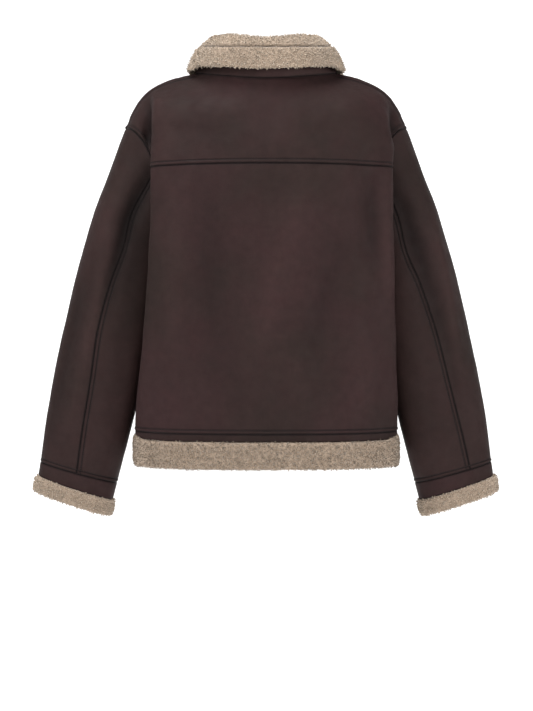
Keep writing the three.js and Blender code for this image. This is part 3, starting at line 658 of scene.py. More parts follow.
def leather(name, plum, brown, dark):
    """Matt leather: two close shades in soft patches, with a fine grain; painted shade in its seam grooves and crease
    troughs, and painted highlight on crease ridges.
    """
    n = Nodes(name)
    patches = n.ramp(n.noise(6.0, 3.0, 0.55), (0.32, brown), (0.66, plum))
    flecks = n.range(n.noise(75.0, 4.0, 0.62), 0.3, 0.7, 0.88, 1.12)
    color = n.blend(1.0, patches, n.add("ShaderNodeCombineColor", _0=flecks, _1=flecks, _2=flecks).outputs[0], "MULTIPLY")
    # Painted shade in crease troughs and painted highlight on ridges, read from the fold attribute.
    painted_fold_shading = n.range(n.attribute("fold"), -2, 1, 0.25, 1.35)
    color = n.blend(1.0, color, n.add("ShaderNodeCombineColor", _0=painted_fold_shading, _1=painted_fold_shading, _2=painted_fold_shading).outputs[0], "MULTIPLY")
    # Painted shade along the seam grooves: the groove attribute mixes the colour toward the dark tone.
    color = n.blend(n.attribute("groove"), color, dark)
    grain = n.bump(n.cells(900.0), 0.00025, 0.5)
    nap = n.bump(n.noise(2600.0, 2.0), 0.0002, 0.5, grain)
    soft = n.bump(n.noise(120.0, 3.0), 0.0009, 0.35, nap)
    roughness = n.range(n.noise(48.0), 0.3, 0.7, 0.6, 0.78)
    return n.finish(
        Base_Color=color, Roughness=roughness, Normal=soft,
        Sheen_Weight=0.008, Sheen_Roughness=0.4, Sheen_Tint=(0.7, 0.55, 0.55, 1), Specular_IOR_Level=0.08,
    )


def fleece(name, shade, middle, light):
    """Curly pile: shades that change at random in fine flecks and soft patches, with painted shadow in a seam groove.
    """
    n = Nodes(name)
    tufts = n.ramp(n.noise(230.0, 2.0, 0.6), (0.3, shade), (0.5, middle), (0.7, light))
    patches = n.range(n.noise(22.0, 3.0), 0.3, 0.7, 0.9, 1.08)
    color = n.blend(1.0, tufts, n.add("ShaderNodeCombineColor", _0=patches, _1=patches, _2=patches).outputs[0], "MULTIPLY")
    # Painted shadow in the collar's seam groove.
    color = n.blend(n.attribute("groove"), color, tone(44, 33, 27))
    hair = n.bump(n.noise(2400.0, 3.0, 0.7), 0.0005, 0.45)
    curl = n.bump(n.cells(380.0), 0.0012, 0.35, hair)
    return n.finish(
        Base_Color=color, Roughness=0.95, Normal=curl, Sheen_Weight=0.35, Sheen_Roughness=0.6,
        Sheen_Tint=(1, 0.93, 0.84, 1), Specular_IOR_Level=0.2,
    )


def thread(name, color):
    n = Nodes(name)
    twist = n.bump(n.noise(3200.0, 2.0), 0.0001, 0.6)
    shade = n.ramp(n.noise(600.0), (0.3, tone(20, 13, 13)), (0.7, color))
    return n.finish(Base_Color=shade, Roughness=0.7, Normal=twist, Specular_IOR_Level=0.2)


def woven_tape(name, color):
    n = Nodes(name)
    ribs = n.add("ShaderNodeTexWave", {"bands_direction": "Z"}, Vector=n.place, Scale=420.0, Distortion=0.6)
    warp = n.add("ShaderNodeTexWave", {"bands_direction": "X"}, Vector=n.place, Scale=340.0, Distortion=0.4)
    weave = n.blend(0.5, ribs.outputs["Color"], warp.outputs["Color"])
    shade = n.ramp(weave, (0.2, tone(26, 19, 19)), (0.8, color))
    return n.finish(Base_Color=shade, Roughness=0.9, Normal=n.bump(weave, 0.0003, 0.8), Sheen_Weight=0.2)


def worn_metal(name, color):
    n = Nodes(name)
    wear = n.noise(260.0, 5.0, 0.7)
    shade = n.ramp(wear, (0.35, tone(52, 46, 44)), (0.65, color))
    roughness = n.range(wear, 0.3, 0.7, 0.24, 0.46)
    scratches = n.bump(n.noise(1500.0, 4.0), 0.00005, 0.4)
    return n.finish(Base_Color=shade, Metallic=1.0, Roughness=roughness, Normal=scratches)


HIDE = leather("leather", tone(38, 24, 24), tone(31, 22, 20), tone(12, 7, 7))
# A slightly darker copy of the leather: painted shade on the sleeves and the hem strip.
SHADED_HIDE = leather("sleeve_leather", tone(36, 24, 23), tone(30, 21, 19), tone(10, 6, 6))
BACKING = fleece("sherpa_inside", tone(110, 94, 80), tone(136, 119, 104), tone(158, 143, 128))
# The ground's darker tones are painted shade between the tufts.
GROUND = fleece("sherpa_ground", tone(104, 89, 74), tone(120, 104, 89), tone(133, 118, 103))
PILE_FINISH = fleece("sherpa_pile", tone(131, 115, 98), tone(143, 127, 110), tone(153, 138, 121))
# A darker copy of the pile for the hem: painted shade, since the hem sits lower and gets less of the light.
HEM_PILE_FINISH = fleece("hem_sherpa_pile", tone(92, 77, 63), tone(104, 89, 74), tone(115, 100, 84))
# A lighter copy of the leather for the stand: painted light where the collar shades it.
STAND_HIDE = leather("stand_leather", tone(50, 36, 35), tone(41, 31, 29), tone(12, 7, 7))
THREAD = thread("thread", tone(30, 20, 19))
TAPE = woven_tape("zip_tape", tone(48, 38, 37))
METAL = worn_metal("zip_metal", tone(112, 104, 98))
CLOTH_SIDES, SHADED_SIDES = [HIDE, BACKING], [SHADED_HIDE, BACKING]


# Panels of the body
def body_piece(face, u_from, u_to, v_from, v_to):
    return lambda p, q: body(face, mix(u_from, u_to, p), mix(v_from, v_to, q))


def row_share(face, row, distance):
    """Rows that go to a distance down the middle of a face."""
    line = body(face, np.zeros(2), np.array([row, row + 0.1]))
    return 0.1 * distance / np.linalg.norm(line[1] - line[0])


yoke_end = YOKE_ROW + row_share("back", YOKE_ROW, LAP)
hem_end = HEM_ROW + row_share("back", HEM_ROW - 0.1, LAP)
t = np.linspace(0, 1, 400)
YOKE_SEAM = body("back", mix(-EDGE, EDGE, t), 0 * t + yoke_end)
NECK_SEAM = {"back": body("back", mix(-NECK_EDGE, NECK_EDGE, t), 0 * t)}
panels = {}
stitch_rows = []
hides = {"leather": HIDE}
sides = {"left": -1, "right": 1}
side_lines = {}
for word, sign in sides.items():
    full = sign * t * 1.0
    side_lines[word] = {
        "shoulder": mirrored(through(np.array(SHOULDER, float), t * (EDGE - NECK_EDGE)), sign),
        "armhole": through(mirrored(ARMHOLE, sign), t * ROUND, closed=True),
        "side": through(mirrored(SIDE_SEAM, sign), t * (HEM_ROW - UNDERARM_ROW)),
        "front": body("front", np.copysign(0.0, sign) + 0 * t, t * hem_end),
        "neck": body("front", sign * t * NECK_EDGE, 0 * t),
        "back_hem": body("back", sign * t * EDGE, 0 * t + hem_end),
        "front_hem": body("front", sign * t * EDGE, 0 * t + hem_end),
        "sleeve_back": sleeve(sign, back_seam(sign, t * CUFF_SEAM) - LAP / TURN_MM, t * CUFF_SEAM),
        "sleeve_front": sleeve(sign, 0 * t + SLEEVE_FRONT_SEAM, t * CUFF_SEAM),
        "cuff": sleeve(sign, t * ROUND, 0 * t + CUFF_SEAM),
        "cuff_end": sleeve(sign, t * ROUND, 0 * t + CUFF_END),
    }
both = list(side_lines.values())

yoke_joins = [(YOKE_SEAM, STITCH_ROW, 0), (NECK_SEAM["back"], 0, 0)]
yoke_joins += [(lines["shoulder"], SHOULDER_ROW, CALM) for lines in both] + [(lines["armhole"], STITCH_ROW, CALM) for lines in both]
back_joins = [(YOKE_SEAM, 0, 0)]
for lines in both:
    back_joins += [(lines["armhole"], STITCH_ROW, CALM), (lines["side"], 0, CALM), (lines["back_hem"], STITCH_ROW, 0)]
panels["yoke"] = Panel(
    "yoke", body_piece("back", -EDGE, EDGE, 0, yoke_end), yoke_joins, CLOTH_SIDES, CREASES["back"]
)
panels["lower_back"] = Panel(
    "lower_back", body_piece("back", -EDGE, EDGE, yoke_end, hem_end), back_joins, CLOTH_SIDES, CREASES["back"]
)
yoke, lower_back = panels["yoke"], panels["lower_back"]
armhole_share = (UNDERARM_ROW - yoke_end) / (hem_end - yoke_end)
stitch_rows.append((yoke, yoke.row(side(q=1), (0, -1))))
for start in (0, 2 / 3):
    shoulder_edge = side(q=0) * (1 / 3, 1) + (start, 0)
    stitch_rows.append((yoke, yoke.row(shoulder_edge, (0, 1), SHOULDER_ROW)))
stitch_rows.append((lower_back, lower_back.row(side(q=1), (0, -1))))
for p, way in ((0, 1), (1, -1)):
    stitch_rows.append((yoke, yoke.row(side(p=p), (way, 0))))
    edge = side(p=p) * (1, armhole_share)
    stitch_rows.append((lower_back, lower_back.row(edge, (way, 0))))

for word, sign in sides.items():
    lines = side_lines[word]
    name = word + "_front"
    joins = [(lines["shoulder"], 0, CALM), (lines["armhole"], STITCH_ROW, CALM), (lines["side"], 0, CALM)]
    joins += [(lines["front_hem"], STITCH_ROW, 0), (lines["front"], STITCH_ROW, 0), (lines["neck"], 0, 0)]
    surface = body_piece("front", np.copysign(0.0, sign), sign * EDGE, 0, hem_end)
    panels[name] = front = Panel(name, surface, joins, CLOTH_SIDES, CREASES["front"])
    stitch_rows.append((front, front.row(side(q=1), (0, -1))))
    stitch_rows.append((front, front.row(side(p=0), (1, 0))))
    stitch_rows.append((front, front.row(side(p=1) * (1, UNDERARM_ROW / hem_end), (-1, 0))))

# Sleeves
def sleeve_piece(sign, turn_from, turn_to):
    def surface(p, q):
        s = q * CUFF_SEAM
        return sleeve(sign, mix(turn_from(s), turn_to(s), p), s)

    def flat(p, q):
        s = q * CUFF_SEAM
        return mix(turn_from(s), turn_to(s), p) * TURN_MM, s * SECTION_MM

    return surface, flat


for word, sign in sides.items():
    lines = side_lines[word]
    creases = [
        (a * TURN_MM, b * SECTION_MM, c * TURN_MM, d * SECTION_MM, width, depth)
        for a, b, c, d, width, depth in SLEEVE_CREASES[sign]
    ]
    front_turn = lambda s: SLEEVE_FRONT_SEAM + 0 * s
    back_turn = lambda s, sign=sign: back_seam(sign, s) - LAP / TURN_MM
    joins = [(lines["armhole"], 0, CALM), (lines["cuff"], STITCH_ROW, 0)]
    surface, flat = sleeve_piece(sign, lambda s: front_turn(s) - ROUND, back_turn)
    name = word + "_top_sleeve"
    seams = [(lines["sleeve_back"], 0, 0), (lines["sleeve_front"], 0, 0)]
    panels[name] = top = Panel(name, surface, joins + seams, SHADED_SIDES, creases, flat)
    surface, flat = sleeve_piece(sign, back_turn, front_turn)
    name = word + "_under_sleeve"
    seams = [(lines["sleeve_back"], STITCH_ROW, 0), (lines["sleeve_front"], STITCH_ROW, 0)]
    panels[name] = under = Panel(name, surface, joins + seams, SHADED_SIDES, creases, flat)
    stitch_rows.append((top, top.row(side(q=1), (0, -1))))
    stitch_rows.append((under, under.row(side(q=1), (0, -1))))
    stitch_rows.append((under, under.row(side(p=0), (1, 0))))
    stitch_rows.append((under, under.row(side(p=1), (-1, 0))))
    name = word + "_cuff"
    ring = lambda p, q, sign=sign: sleeve(sign, p * ROUND, mix(CUFF_SEAM, CUFF_END, q))
    joins = [(lines["cuff"], 0, 0), (lines["cuff_end"], 0, 0)]
    panels[name] = Panel(name, ring, joins, CLOTH_SIDES, wraps=True)


# The hem strip and the stand
def hem_line(count=420):
    """The hem seam from the zip on the left round the back to the zip on the right."""
    u = np.linspace(0, EDGE, count)
    left = body("front", -u, 0 * u + HEM_ROW)
    back = body("back", np.linspace(-EDGE, EDGE, 2 * count), np.full(2 * count, float(HEM_ROW)))
    right = body("front", u, 0 * u + HEM_ROW)[::-1]
    return np.concatenate([left, back[1:-1], right])


HEM = evenly(hem_line(), 2.5)


def along_line(line, share):
    stops = np.linspace(0, 1, len(line))
    return np.stack([np.interp(share, stops, line[:, k]) for k in range(3)], axis=1)


run = np.gradient(HEM, axis=0)
hem_out = unit(np.stack([-run[:, 1], run[:, 0], 0 * run[:, 0]], axis=1))
hem_out *= np.where((hem_out * HEM)[:, :2].sum(axis=1) < 0, -1, 1)[:, None]
hem_top, hem_foot = HEM - (0, 0, LAP), HEM - (0, 0, HEM_BAND) - hem_out * HEM_LEAN


def hem_surface(p, q):
    return mix(along_line(hem_top, p), along_line(hem_foot, p), q[:, None])


# The strip takes the darker leather as painted shade.
panels["hem_strip"] = Panel(
    "hem_strip", hem_surface, [(hem_top, 0, 0), (hem_foot, 0, 0)], SHADED_SIDES
)
neck_line = neck_place(np.linspace(-NECK_END, NECK_END, 600))[0]
panels["neck_stand"] = Panel(
    "neck_stand",
    lambda p, q: stand(1 - (1 + STAND_TUCK) * q, mix(-NECK_END, NECK_END, p)),
    [(neck_line + (0, 0, STAND_GAP), 0, 0)],
    [STAND_HIDE, BACKING],
    edges=(1, 1, 0, 1),
)

# Fleece: a lumpy ground, and tufts set on it
FLEECE_STEP = 2.6


def lumps(points, grid_shape, seed):
    """Small heaps of curls, as a height over the ground."""
    return (0.5 * bumps(points, 5.2, seed) + 0.35 * bumps(points, 15, seed + 5)).reshape(*grid_shape, 1)


def fleece_roll(name, line, out, down, size, closed):
    """A turned-out roll of fleece under a line of cloth."""
    half = (size["proud"] + size["inside"]) / 2 - PILE
    tall = size["height"] / 2
    count = int(round((4 * half + 4 * tall) * 0.9 / FLEECE_STEP))
    angle = np.arange(count) / count * 2 * np.pi
    across = squared(np.cos(angle), 0.62)[None, :, None]
    up = squared(np.sin(angle), 0.62)[None, :, None]
    grow = np.ones(len(line))
    if not closed:
        run = length_along(line)
        near = np.clip(np.minimum(run, run[-1] - run) / 9, 0, 1)
        grow = np.maximum(np.sqrt(1 - (1 - near) ** 2), 0.05)
    middle = line + out * (size["proud"] - size["inside"]) / 2 + down * (SEAM_GAP + size["height"] / 2)
    grid = middle[:, None] + grow[:, None, None] * (out[:, None] * half * across + down[:, None] * tall * up)
    behind = smooth((0.3 - (size["proud"] - size["inside"]) / 2 - half * across) / 1.5) * np.maximum(0, -up)
    grid = grid - down[:, None] * TUCKED * behind * grow[:, None, None]
    if not closed:
        aside = smooth((np.abs(line[:, 0]) / np.abs(line[:, 0]).max() - 0.9) / 0.1)
        grid -= down[:, None] * HEM_CORNER * aside[:, None, None] * np.maximum(0, -up)
    normals = normals_of(grid, wraps=True)
    grid = grid + normals * lumps(grid, grid.shape[:2], 2.2)
    n, m = grid.shape[:2]
    ids = np.arange(n * m).reshape(n, m)
    points = grid.reshape(-1, 3)
    if closed:
        faces = list(quads(np.concatenate([ids, ids[:1]]), wraps=True))
    else:
        faces = list(quads(ids, wraps=True)) + [ids[0, ::-1], ids[-1]]
    return turned_out(make_mesh(name, points, faces, [GROUND], density=np.ones(len(points))))


ground_pieces = {}
hem_down = np.tile((0.0, 0.0, -1.0), (len(HEM), 1))
ground_pieces["hem"] = fleece_roll("hem_sherpa", hem_foot, hem_out, hem_down, HEM_FLEECE, closed=False)
for word, sign in sides.items():
    ring = evenly(side_lines[word]["cuff_end"], FLEECE_STEP)[:-1]
    turns = np.linspace(0, ROUND, len(ring) + 1)[:-1]
    foot, above = sleeve(sign, turns, 0 * turns + CUFF_END), sleeve(sign, turns, 0 * turns + CUFF_SEAM)
    down = unit(foot - above)
    around = np.roll(foot, -1, axis=0) - np.roll(foot, 1, axis=0)
    out = unit(np.cross(around, down))
    out *= np.where((out * (foot - foot.mean(axis=0))).sum(axis=1) < 0, -1, 1)[:, None]
    name = word + "_cuff_sherpa"
    ground_pieces[word + "_cuff"] = fleece_roll(name, foot, out, down, CUFF_FLEECE, closed=True)


def collar_seam(outer):
    """The seam along the outside of the collar: level across the back, then beside the roll to its front ends."""
    heights = outer[..., 2]
    tops = np.argmax(heights, axis=0)
    middle = outer.shape[1] // 2
    lowest = heights[tops[middle], middle] - COLLAR_SEAM_DROP
    levels = lowest + COLLAR_SEAM_RISE * (outer[tops, np.arange(outer.shape[1]), 1] - outer[tops[middle], middle, 1])
    seam = {}
    for way in (1, -1):
        below = 1
        for k in range(middle, outer.shape[1] if way > 0 else -1, way):
            top, level = tops[k], levels[k]
            if heights[top, k] > level + 1.5 and below:
                below = int(np.argmax(heights[top:, k] < level))
                a, b = outer[top + below - 1, k], outer[top + below, k]
                seam[k] = mix(a, b, (a[2] - level) / (a[2] - b[2]))
                last = max(below, 2)
            else:
                below = 0
                seam[k] = outer[min(top + last, len(outer) - 1), k]
    return np.array([seam[k] for k in sorted(seam)])


def collar_ground():
    """The turned-down collar: two faces of fleece with rounded edges, and a seam along its outside."""
    half = COLLAR_CLOTH / 2 - PILE
    w_of = np.linspace(0, NECK_END, 200)
    run = length_along(collar(w_of, 0 * w_of))
    ends = np.array([0, 0.25, 0.7, 1.4, 2.4])
    rows = np.concatenate([ends, np.arange(4.2, run[-1] - 3.4, 2.1), run[-1] - ends[::-1]])
    w = np.interp(rows, run, w_of)
    a_of = np.linspace(-NECK_END, NECK_END, 600)
    run = length_along(collar(0 * a_of + 3, a_of))
    columns = np.concatenate([ends, np.arange(4.8, run[-1] - 4, 2.6), run[-1] - ends[::-1]])
    along = np.interp(columns, run, a_of)
    wide, tall = (g.ravel() for g in np.meshgrid(along, w))
    grid = collar(tall, wide)
    carried = []
    for panel, signs in (("yoke", (1,)), ("left_front", (1,)), ("right_front", (1,))):
        mesh = panels[panel].piece.data
        count = len(mesh.vertices) // 2
        carried += [(v.co / MM, v.normal.copy()) for v in mesh.vertices[:count]]
    tree = nearest_tree([co for co, _ in carried])
    for k in np.flatnonzero(tall > 2):
        place = Vector(grid[k])
        co, index, _ = tree.find(place)
        normal = carried[index][1]
        lift = COLLAR_CLOTH / 2 + COLLAR_CLEARANCE - (place - co).dot(normal)
        if lift > 0:
            grid[k] += np.array(normal) * lift
    grid = grid.reshape(len(w), len(along), 3)
    for _ in range(2):
        inner_rows = grid[1:-1, 1:-1]
        grid[1:-1, 1:-1] = inner_rows * 0.5 + 0.125 * (
            grid[:-2, 1:-1] + grid[2:, 1:-1] + grid[1:-1, :-2] + grid[1:-1, 2:]
        )
    normals = normals_of(grid)
    if normals[-1, len(along) // 2, 1] > 0:
        normals = -normals
    near = np.minimum(np.minimum(rows, rows[-1] - rows)[:, None], np.minimum(columns, columns[-1] - columns)[None])
    round_edge = np.sqrt(1 - (1 - np.clip(near / half, 0, 1)) ** 2)[..., None]
    outer = grid + normals * half * round_edge
    seam = collar_seam(outer)
    d = distance_to(outer.reshape(-1, 3), seam).reshape(len(w), len(along))
    groove = np.exp(-((d / 1.7) ** 2))
    outer += normals * (lumps(outer, outer.shape[:2], 4.4) * round_edge - 3.0 * groove[..., None])
    inner = grid - normals * (half * round_edge + lumps(grid, grid.shape[:2], 9.9) * round_edge + 0.05)
    density = smooth((d - 2.3) / 1.2)
    piece = closed_wall("collar_sherpa", outer, inner, [GROUND], density=density, groove=groove)
    values = np.concatenate([density.ravel(), np.ones(density.size)]).astype(np.float32)
    piece.data.attributes["density"].data.foreach_set("value", values)
    return piece


ground_pieces["collar"] = collar_ground()


# Geometry Nodes: shapes set on places, and tufts set on a ground
def node_tree(name, sockets):
    tree = bpy.data.node_groups.new(name, "GeometryNodeTree")
    tree.interface.new_socket("Geometry", in_out="INPUT", socket_type="NodeSocketGeometry")
    for label, kind in sockets:
        tree.interface.new_socket(label, in_out="INPUT", socket_type="NodeSocket" + kind)
    tree.interface.new_socket("Geometry", in_out="OUTPUT", socket_type="NodeSocketGeometry")
    return tree


def run_tree(piece, tree, **values):
    """Runs a tree on a piece and keeps the result as a plain mesh."""
    modifier = piece.modifiers.new(tree.name, "NODES")
    modifier.node_group = tree
    for socket in tree.interface.items_tree:
        label = socket.name.replace(" ", "_").lower()
        if socket.in_out == "INPUT" and label in values:
            modifier[socket.identifier] = values[label]
    bpy.context.view_layer.update()
    graph = bpy.context.evaluated_depsgraph_get()
    mesh = bpy.data.meshes.new_from_object(piece.evaluated_get(graph), depsgraph=graph)
    piece.modifiers.clear()
    old = piece.data
    piece.data = mesh
    bpy.data.meshes.remove(old)
    mesh.name = piece.name
    mesh.shade_smooth()
    return piece


def tuft_tree():
    """Tufts on a ground, a least spacing apart, each spun and sized at random."""
    sockets = [("Shape", "Object"), ("Spacing", "Float"), ("Most", "Float"), ("Smallest", "Float")]
    sockets += [("Largest", "Float"), ("Seed", "Int"), ("Finish", "Material")]
    tree = node_tree("tufts_on_ground", sockets)
    add, join = tree.nodes.new, tree.links.new
    given = add("NodeGroupInput").outputs
    scatter = add("GeometryNodeDistributePointsOnFaces")
    scatter.distribute_method = "POISSON"
    density = add("GeometryNodeInputNamedAttribute")
    density.inputs["Name"].default_value = "density"
    join(given["Geometry"], scatter.inputs["Mesh"])
    join(given["Spacing"], scatter.inputs["Distance Min"])
    join(given["Most"], scatter.inputs["Density Max"])
    join(density.outputs["Attribute"], scatter.inputs["Density Factor"])
    join(given["Seed"], scatter.inputs["Seed"])
    spin = add("FunctionNodeRandomValue")
    spin.data_type = "FLOAT_VECTOR"
    spin.inputs[0].default_value = (-0.4, -0.4, 0.0)
    spin.inputs[1].default_value = (0.4, 0.4, 2 * math.pi)
    join(given["Seed"], spin.inputs["Seed"])
    turn = add("FunctionNodeEulerToRotation")
    join(spin.outputs[0], turn.inputs[0])
    both_turns = add("FunctionNodeRotateRotation")
    both_turns.rotation_space = "LOCAL"
    join(scatter.outputs["Rotation"], both_turns.inputs[0])
    join(turn.outputs[0], both_turns.inputs[1])
    size = add("FunctionNodeRandomValue")
    size.data_type = "FLOAT"
    join(given["Smallest"], size.inputs[2])
    join(given["Largest"], size.inputs[3])
    join(given["Seed"], size.inputs["Seed"])
    shape = add("GeometryNodeObjectInfo")
    join(given["Shape"], shape.inputs["Object"])
    place = add("GeometryNodeInstanceOnPoints")
    join(scatter.outputs["Points"], place.inputs["Points"])
    join(shape.outputs["Geometry"], place.inputs["Instance"])
    join(both_turns.outputs[0], place.inputs["Rotation"])
    join(size.outputs[1], place.inputs["Scale"])
    end_tree(tree, given, place)
    return tree


def end_tree(tree, given, place):
    real = tree.nodes.new("GeometryNodeRealizeInstances")
    finish = tree.nodes.new("GeometryNodeSetMaterial")
    tree.links.new(place.outputs["Instances"], real.inputs["Geometry"])
    tree.links.new(real.outputs["Geometry"], finish.inputs["Geometry"])
    tree.links.new(given["Finish"], finish.inputs["Material"])
    tree.links.new(finish.outputs["Geometry"], tree.nodes.new("NodeGroupOutput").inputs["Geometry"])


def place_tree():
    """A shape on each place, turned as the place says."""
    tree = node_tree("shapes_on_places", [("Shape", "Object"), ("Finish", "Material")])
    add, join = tree.nodes.new, tree.links.new
    given = add("NodeGroupInput").outputs
    way = add("GeometryNodeInputNamedAttribute")
    way.data_type = "FLOAT_VECTOR"
    way.inputs["Name"].default_value = "turn"
    turn = add("FunctionNodeEulerToRotation")
    join(way.outputs["Attribute"], turn.inputs[0])
    shape = add("GeometryNodeObjectInfo")
    join(given["Shape"], shape.inputs["Object"])
    place = add("GeometryNodeInstanceOnPoints")
    join(given["Geometry"], place.inputs["Points"])
    join(shape.outputs["Geometry"], place.inputs["Instance"])
    join(turn.outputs[0], place.inputs["Rotation"])
    end_tree(tree, given, place)
    return tree


def tapered(name, path, radii, sides):
    """A closed tapered tube along a path, in millimetres, that ends in a point."""
    path = np.array(path, float)
    ways = unit(np.gradient(path, axis=0))
    points = []
    for centre, way, radius in zip(path[:-1], ways, radii):
        flat = unit(np.cross(way, (0, 1, 0)))
        for k in range(sides):
            angle = k / sides * 2 * np.pi
            points.append(centre + radius * (flat * np.cos(angle) + np.array((0, 1, 0)) * np.sin(angle)))
    tip = len(points)
    points.append(path[-1])
    ids = np.arange(tip).reshape(-1, sides)
    faces = [list(f) for f in quads(ids, wraps=True)] + [list(ids[0][::-1])]
    faces += [[ids[-1][k], ids[-1][(k + 1) % sides], tip] for k in range(sides)]
    return turned_out(make_mesh(name, points, faces, []))


def places_mesh(name, places, turns):
    mesh = bpy.data.meshes.new(name)
    mesh.from_pydata((np.array(places) * MM).tolist(), [], [])
    mesh.attributes.new("turn", "FLOAT_VECTOR", "POINT").data.foreach_set("vector", np.array(turns).ravel())
    piece = bpy.data.objects.new(name, mesh)
    bpy.context.scene.collection.objects.link(piece)
    return piece


def turn_to(along, out):
    """The turn that points z along a way and x out of the cloth."""
    z = Vector(along).normalized()
    x = Vector(out)
    x = (x - z * x.dot(z)).normalized()
    return tuple(Matrix((x, z.cross(x), z)).transposed().to_euler())


TUFTS = tuft_tree()
PLACES = place_tree()
curl = tapered("curl_shape", [(0, 0, -0.9), (0.25, 0, 0.9), (1.25, 0, 1.9), (2.2, 0, 1.35)], (1.1, 1.05, 0.72), 3)
pile_pieces = {}
# Columns: least spacing in metres, seed
PILES = {"collar": (0.0027, 11), "hem": (0.0028, 23), "left_cuff": (0.0027, 31), "right_cuff": (0.0027, 37)}
for key, (spacing, seed) in PILES.items():
    pile = ground_pieces[key].copy()
    pile.data = ground_pieces[key].data.copy()
    pile.name = key + "_pile"
    bpy.context.scene.collection.objects.link(pile)
    pile_pieces[key] = run_tree(
        pile, TUFTS, shape=curl, spacing=spacing, most=3.2e5, smallest=0.75, largest=1.3, seed=seed,
        finish=HEM_PILE_FINISH if key == "hem" else PILE_FINISH,
    )

# Stitches along the double lines
capsule = bmesh.new()
bmesh.ops.create_uvsphere(capsule, u_segments=5, v_segments=4, radius=0.5 * MM)
bmesh.ops.scale(capsule, vec=(STITCH["thick"], STITCH["thick"], STITCH["long"]), verts=capsule.verts)
stitch_mesh = bpy.data.meshes.new("stitch_shape")
capsule.to_mesh(stitch_mesh)
capsule.free()
stitch_shape = bpy.data.objects.new("stitch_shape", stitch_mesh)
bpy.context.scene.collection.objects.link(stitch_shape)
places, turns = [], []
for panel, line in stitch_rows:
    line = evenly(line, STITCH["pitch"])
    ways = np.gradient(line, axis=0)
    for p, way in zip(line, ways):
        on, out, _, _ = panel.skin.find_nearest(Vector(p))
        middle = panel.surface(np.array([0.5]), np.array([0.5]))[0]
        places.append(on + out * STITCH["lift"] if out.dot(on - Vector((0, 0, on.z))) > 0 else on - out * STITCH["lift"])
        turns.append(turn_to(way, out))
stitching = run_tree(places_mesh("stitching", places, turns), PLACES, shape=stitch_shape, finish=THREAD)


# The zip: tapes, teeth, slider and pull tab
def zip_line(v, x, sunk):
    v = np.asarray(v, float)
    p = body("front", 0 * v, np.minimum(v, HEM_ROW))
    p[:, 0] = x
    p[:, 1] -= sunk
    p[:, 2] -= HEM_BAND * np.maximum(0, v - HEM_ROW)
    return p


def zip_tape(name, x_from, x_to, sunk, thick):
    v = np.linspace(0, HEM_ROW + 1, 160)
    x = np.linspace(x_from, x_to, 13)
    grid = np.stack([zip_line(v, at, sunk if abs(at) > ZIP["chain"] else sunk + 1.3) for at in x], axis=1)
    back = grid - (0, thick, 0)
    return closed_wall(name, grid, back, [TAPE])


tapes = {
    word: zip_tape(word + "_tape", *sorted((sign * 0.15, sign * (ZIP["tape"] + 1.5))), 1.0, 1.2)
    for word, sign in sides.items()
}
tooth = bmesh.new()
bmesh.ops.create_cube(tooth, size=MM)
bmesh.ops.scale(tooth, vec=(2.2, 3.3, 1.5), verts=tooth.verts)
for vert in tooth.verts:
    if vert.co.y > 0:
        vert.co.z *= 0.72
bmesh.ops.bevel(tooth, geom=tooth.edges[:], offset=0.25 * MM, segments=1, affect="EDGES")
tooth_mesh = bpy.data.meshes.new("tooth_shape")
tooth.to_mesh(tooth_mesh)
tooth.free()
tooth_shape = bpy.data.objects.new("tooth_shape", tooth_mesh)
bpy.context.scene.collection.objects.link(tooth_shape)
chain = evenly(zip_line(np.linspace(0.02, HEM_ROW + 0.98, 400), 0.0, 1.5), ZIP["pitch"] / 2)
places, turns = [], []
for k, (p, way) in enumerate(zip(chain, np.gradient(chain, axis=0))):
    toward = 1 if k % 2 else -1
    out = Vector((0, 1, 0)) - Vector(way).normalized() * Vector(way).normalized().y
    places.append(p - np.array((toward * 0.75, 0, 0)))
    turns.append(turn_to(way * toward, out))
teeth = run_tree(places_mesh("teeth", places, turns), PLACES, shape=tooth_shape, finish=METAL)


def bevelled(node, name, width, segments=2):
    """A CAD piece with its edges rounded."""
    work = bmesh.new()
    work.from_mesh(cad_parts[node].data)
    bmesh.ops.remove_doubles(work, verts=work.verts, dist=1e-6)
    bmesh.ops.dissolve_limit(work, angle_limit=math.radians(1), verts=work.verts, edges=work.edges)
    edges = [e for e in work.edges if len(e.link_faces) == 2 and e.calc_face_angle(0) > math.radians(25)]
    bmesh.ops.bevel(work, geom=edges, offset=width * MM, segments=segments, affect="EDGES", clamp_overlap=True)
    bmesh.ops.recalc_face_normals(work, faces=work.faces)
    mesh = bpy.data.meshes.new(name)
    work.to_mesh(mesh)
    work.free()
    mesh.materials.clear()
    mesh.materials.append(METAL)
    mesh.shade_smooth()
    mesh.set_sharp_from_angle(angle=math.radians(40))
    piece = bpy.data.objects.new(name, mesh)
    bpy.context.scene.collection.objects.link(piece)
    return piece


slider = bevelled("zip_slider", "slider", 0.35)
pull = bevelled("zip_pull", "pull_tab", 0.3)
for shape in (curl, stitch_shape, tooth_shape):
    bpy.data.objects.remove(shape)

# What each piece stands for and rides on
STANDS_FOR = {
    "yoke": "back_yoke", "lower_back": "back_body", "hem_strip": "hem_band", "neck_stand": "collar_stand",
}
for word in sides:
    STANDS_FOR.update({
        word + "_front": "front_" + word, word + "_top_sleeve": "sleeve_top_" + word,
        word + "_under_sleeve": "sleeve_under_" + word, word + "_cuff": "cuff_band_" + word,
    })


def settle(piece, node=None, body_name="jacket"):
    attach(piece, body_name)
    if node:
        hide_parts(node)


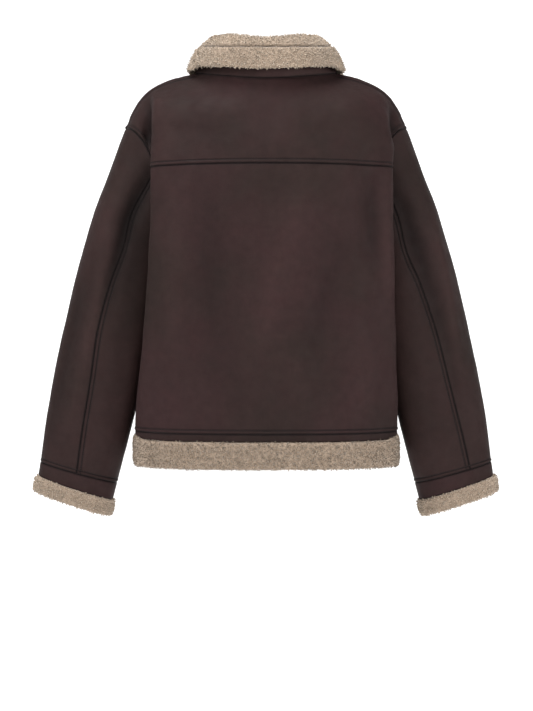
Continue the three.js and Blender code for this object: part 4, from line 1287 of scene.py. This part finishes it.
for name, panel in panels.items():
    settle(panel.piece, STANDS_FOR[name])
settle(stitching)
settle(ground_pieces["hem"], "hem_fleece")
settle(ground_pieces["collar"], "collar_fleece")
for word in sides:
    settle(ground_pieces[word + "_cuff"], "cuff_fleece_" + word)
    settle(tapes[word], "zip_tape_" + word)
for pile in pile_pieces.values():
    settle(pile)
settle(teeth, "zip_chain")
settle(slider, "zip_slider")
settle(pull, "zip_pull", "zip_pull")

# Studio: a pale floor that curves up, soft light and the camera
CAMERA_AWAY = 3.1
CAMERA_HIGH = -0.323
MM_PER_PIXEL = 1.65
WIDE, HIGH = 533, 711
NECK_PIXEL = (266, 77)


def studio_floor(level=-1.5, flat=3.6, tall=5.0, sides=72):
    profile = [(0.02, level), (flat * 0.5, level), (flat, level)]
    profile += [(flat + tall * math.sin(a), level + tall * (1 - math.cos(a))) for a in np.linspace(0.15, 1.45, 10)]
    angle = np.arange(sides) / sides * 2 * np.pi
    grid = np.array([[(r * math.cos(a), r * math.sin(a), z) for a in angle] for r, z in profile]) / MM
    ids = np.arange(grid.shape[0] * sides).reshape(-1, sides)
    faces = list(quads(ids, wraps=True)[:, ::-1]) + [ids[0, ::-1]]
    n = Nodes("studio_floor")
    pale = n.finish(Base_Color=(0.9, 0.9, 0.9, 1), Roughness=0.9)
    n.shader.inputs["Emission Color"].default_value = (1, 1, 1, 1)
    n.shader.inputs["Emission Strength"].default_value = 0.62
    return make_mesh("studio_floor", grid.reshape(-1, 3), faces, [pale])


studio_floor()
world = bpy.data.worlds.new("studio")
world.use_nodes = True
world.node_tree.nodes["Background"].inputs["Color"].default_value = (1, 1, 1, 1)
world.node_tree.nodes["Background"].inputs["Strength"].default_value = 0.2
bpy.context.scene.world = world


def area_light(name, place, target, size, power):
    data = bpy.data.lights.new(name, "AREA")
    data.shape = "RECTANGLE"
    data.size, data.size_y = size
    data.energy = power
    lamp = bpy.data.objects.new(name, data)
    lamp.location = place
    lamp.rotation_euler = (Vector(target) - Vector(place)).to_track_quat("-Z", "Y").to_euler()
    bpy.context.scene.collection.objects.link(lamp)


area_light("left_key", (-2.0, -2.3, 1.6), (0, 0, -0.3), (0.9, 0.9), 100)
area_light("right_key", (2.2, -2.2, 0.3), (0, 0, -0.35), (0.9, 0.9), 60)
area_light("front_key", (0, 2.9, 0.25), (0, 0, -0.3), (1.8, 1.8), 95)
area_light("top", (-0.4, -0.5, 2.2), (0, 0, 0), (1.6, 1.6), 90)

camera_data = bpy.data.cameras.new("camera")
camera_data.sensor_width = 36
camera_data.lens = 36 * CAMERA_AWAY / (HIGH * MM_PER_PIXEL * MM)
middle_high = (NECK_PIXEL[1] - HIGH / 2) * MM_PER_PIXEL * MM
camera_data.shift_y = (middle_high - CAMERA_HIGH) / (HIGH * MM_PER_PIXEL * MM)
camera = bpy.data.objects.new("camera", camera_data)
camera.location = ((WIDE / 2 - NECK_PIXEL[0]) * MM_PER_PIXEL * MM, -CAMERA_AWAY, CAMERA_HIGH)
camera.rotation_euler = (math.pi / 2, 0, 0)
bpy.context.scene.collection.objects.link(camera)
bpy.context.scene.camera = camera
bpy.context.scene.view_settings.view_transform = "Standard"
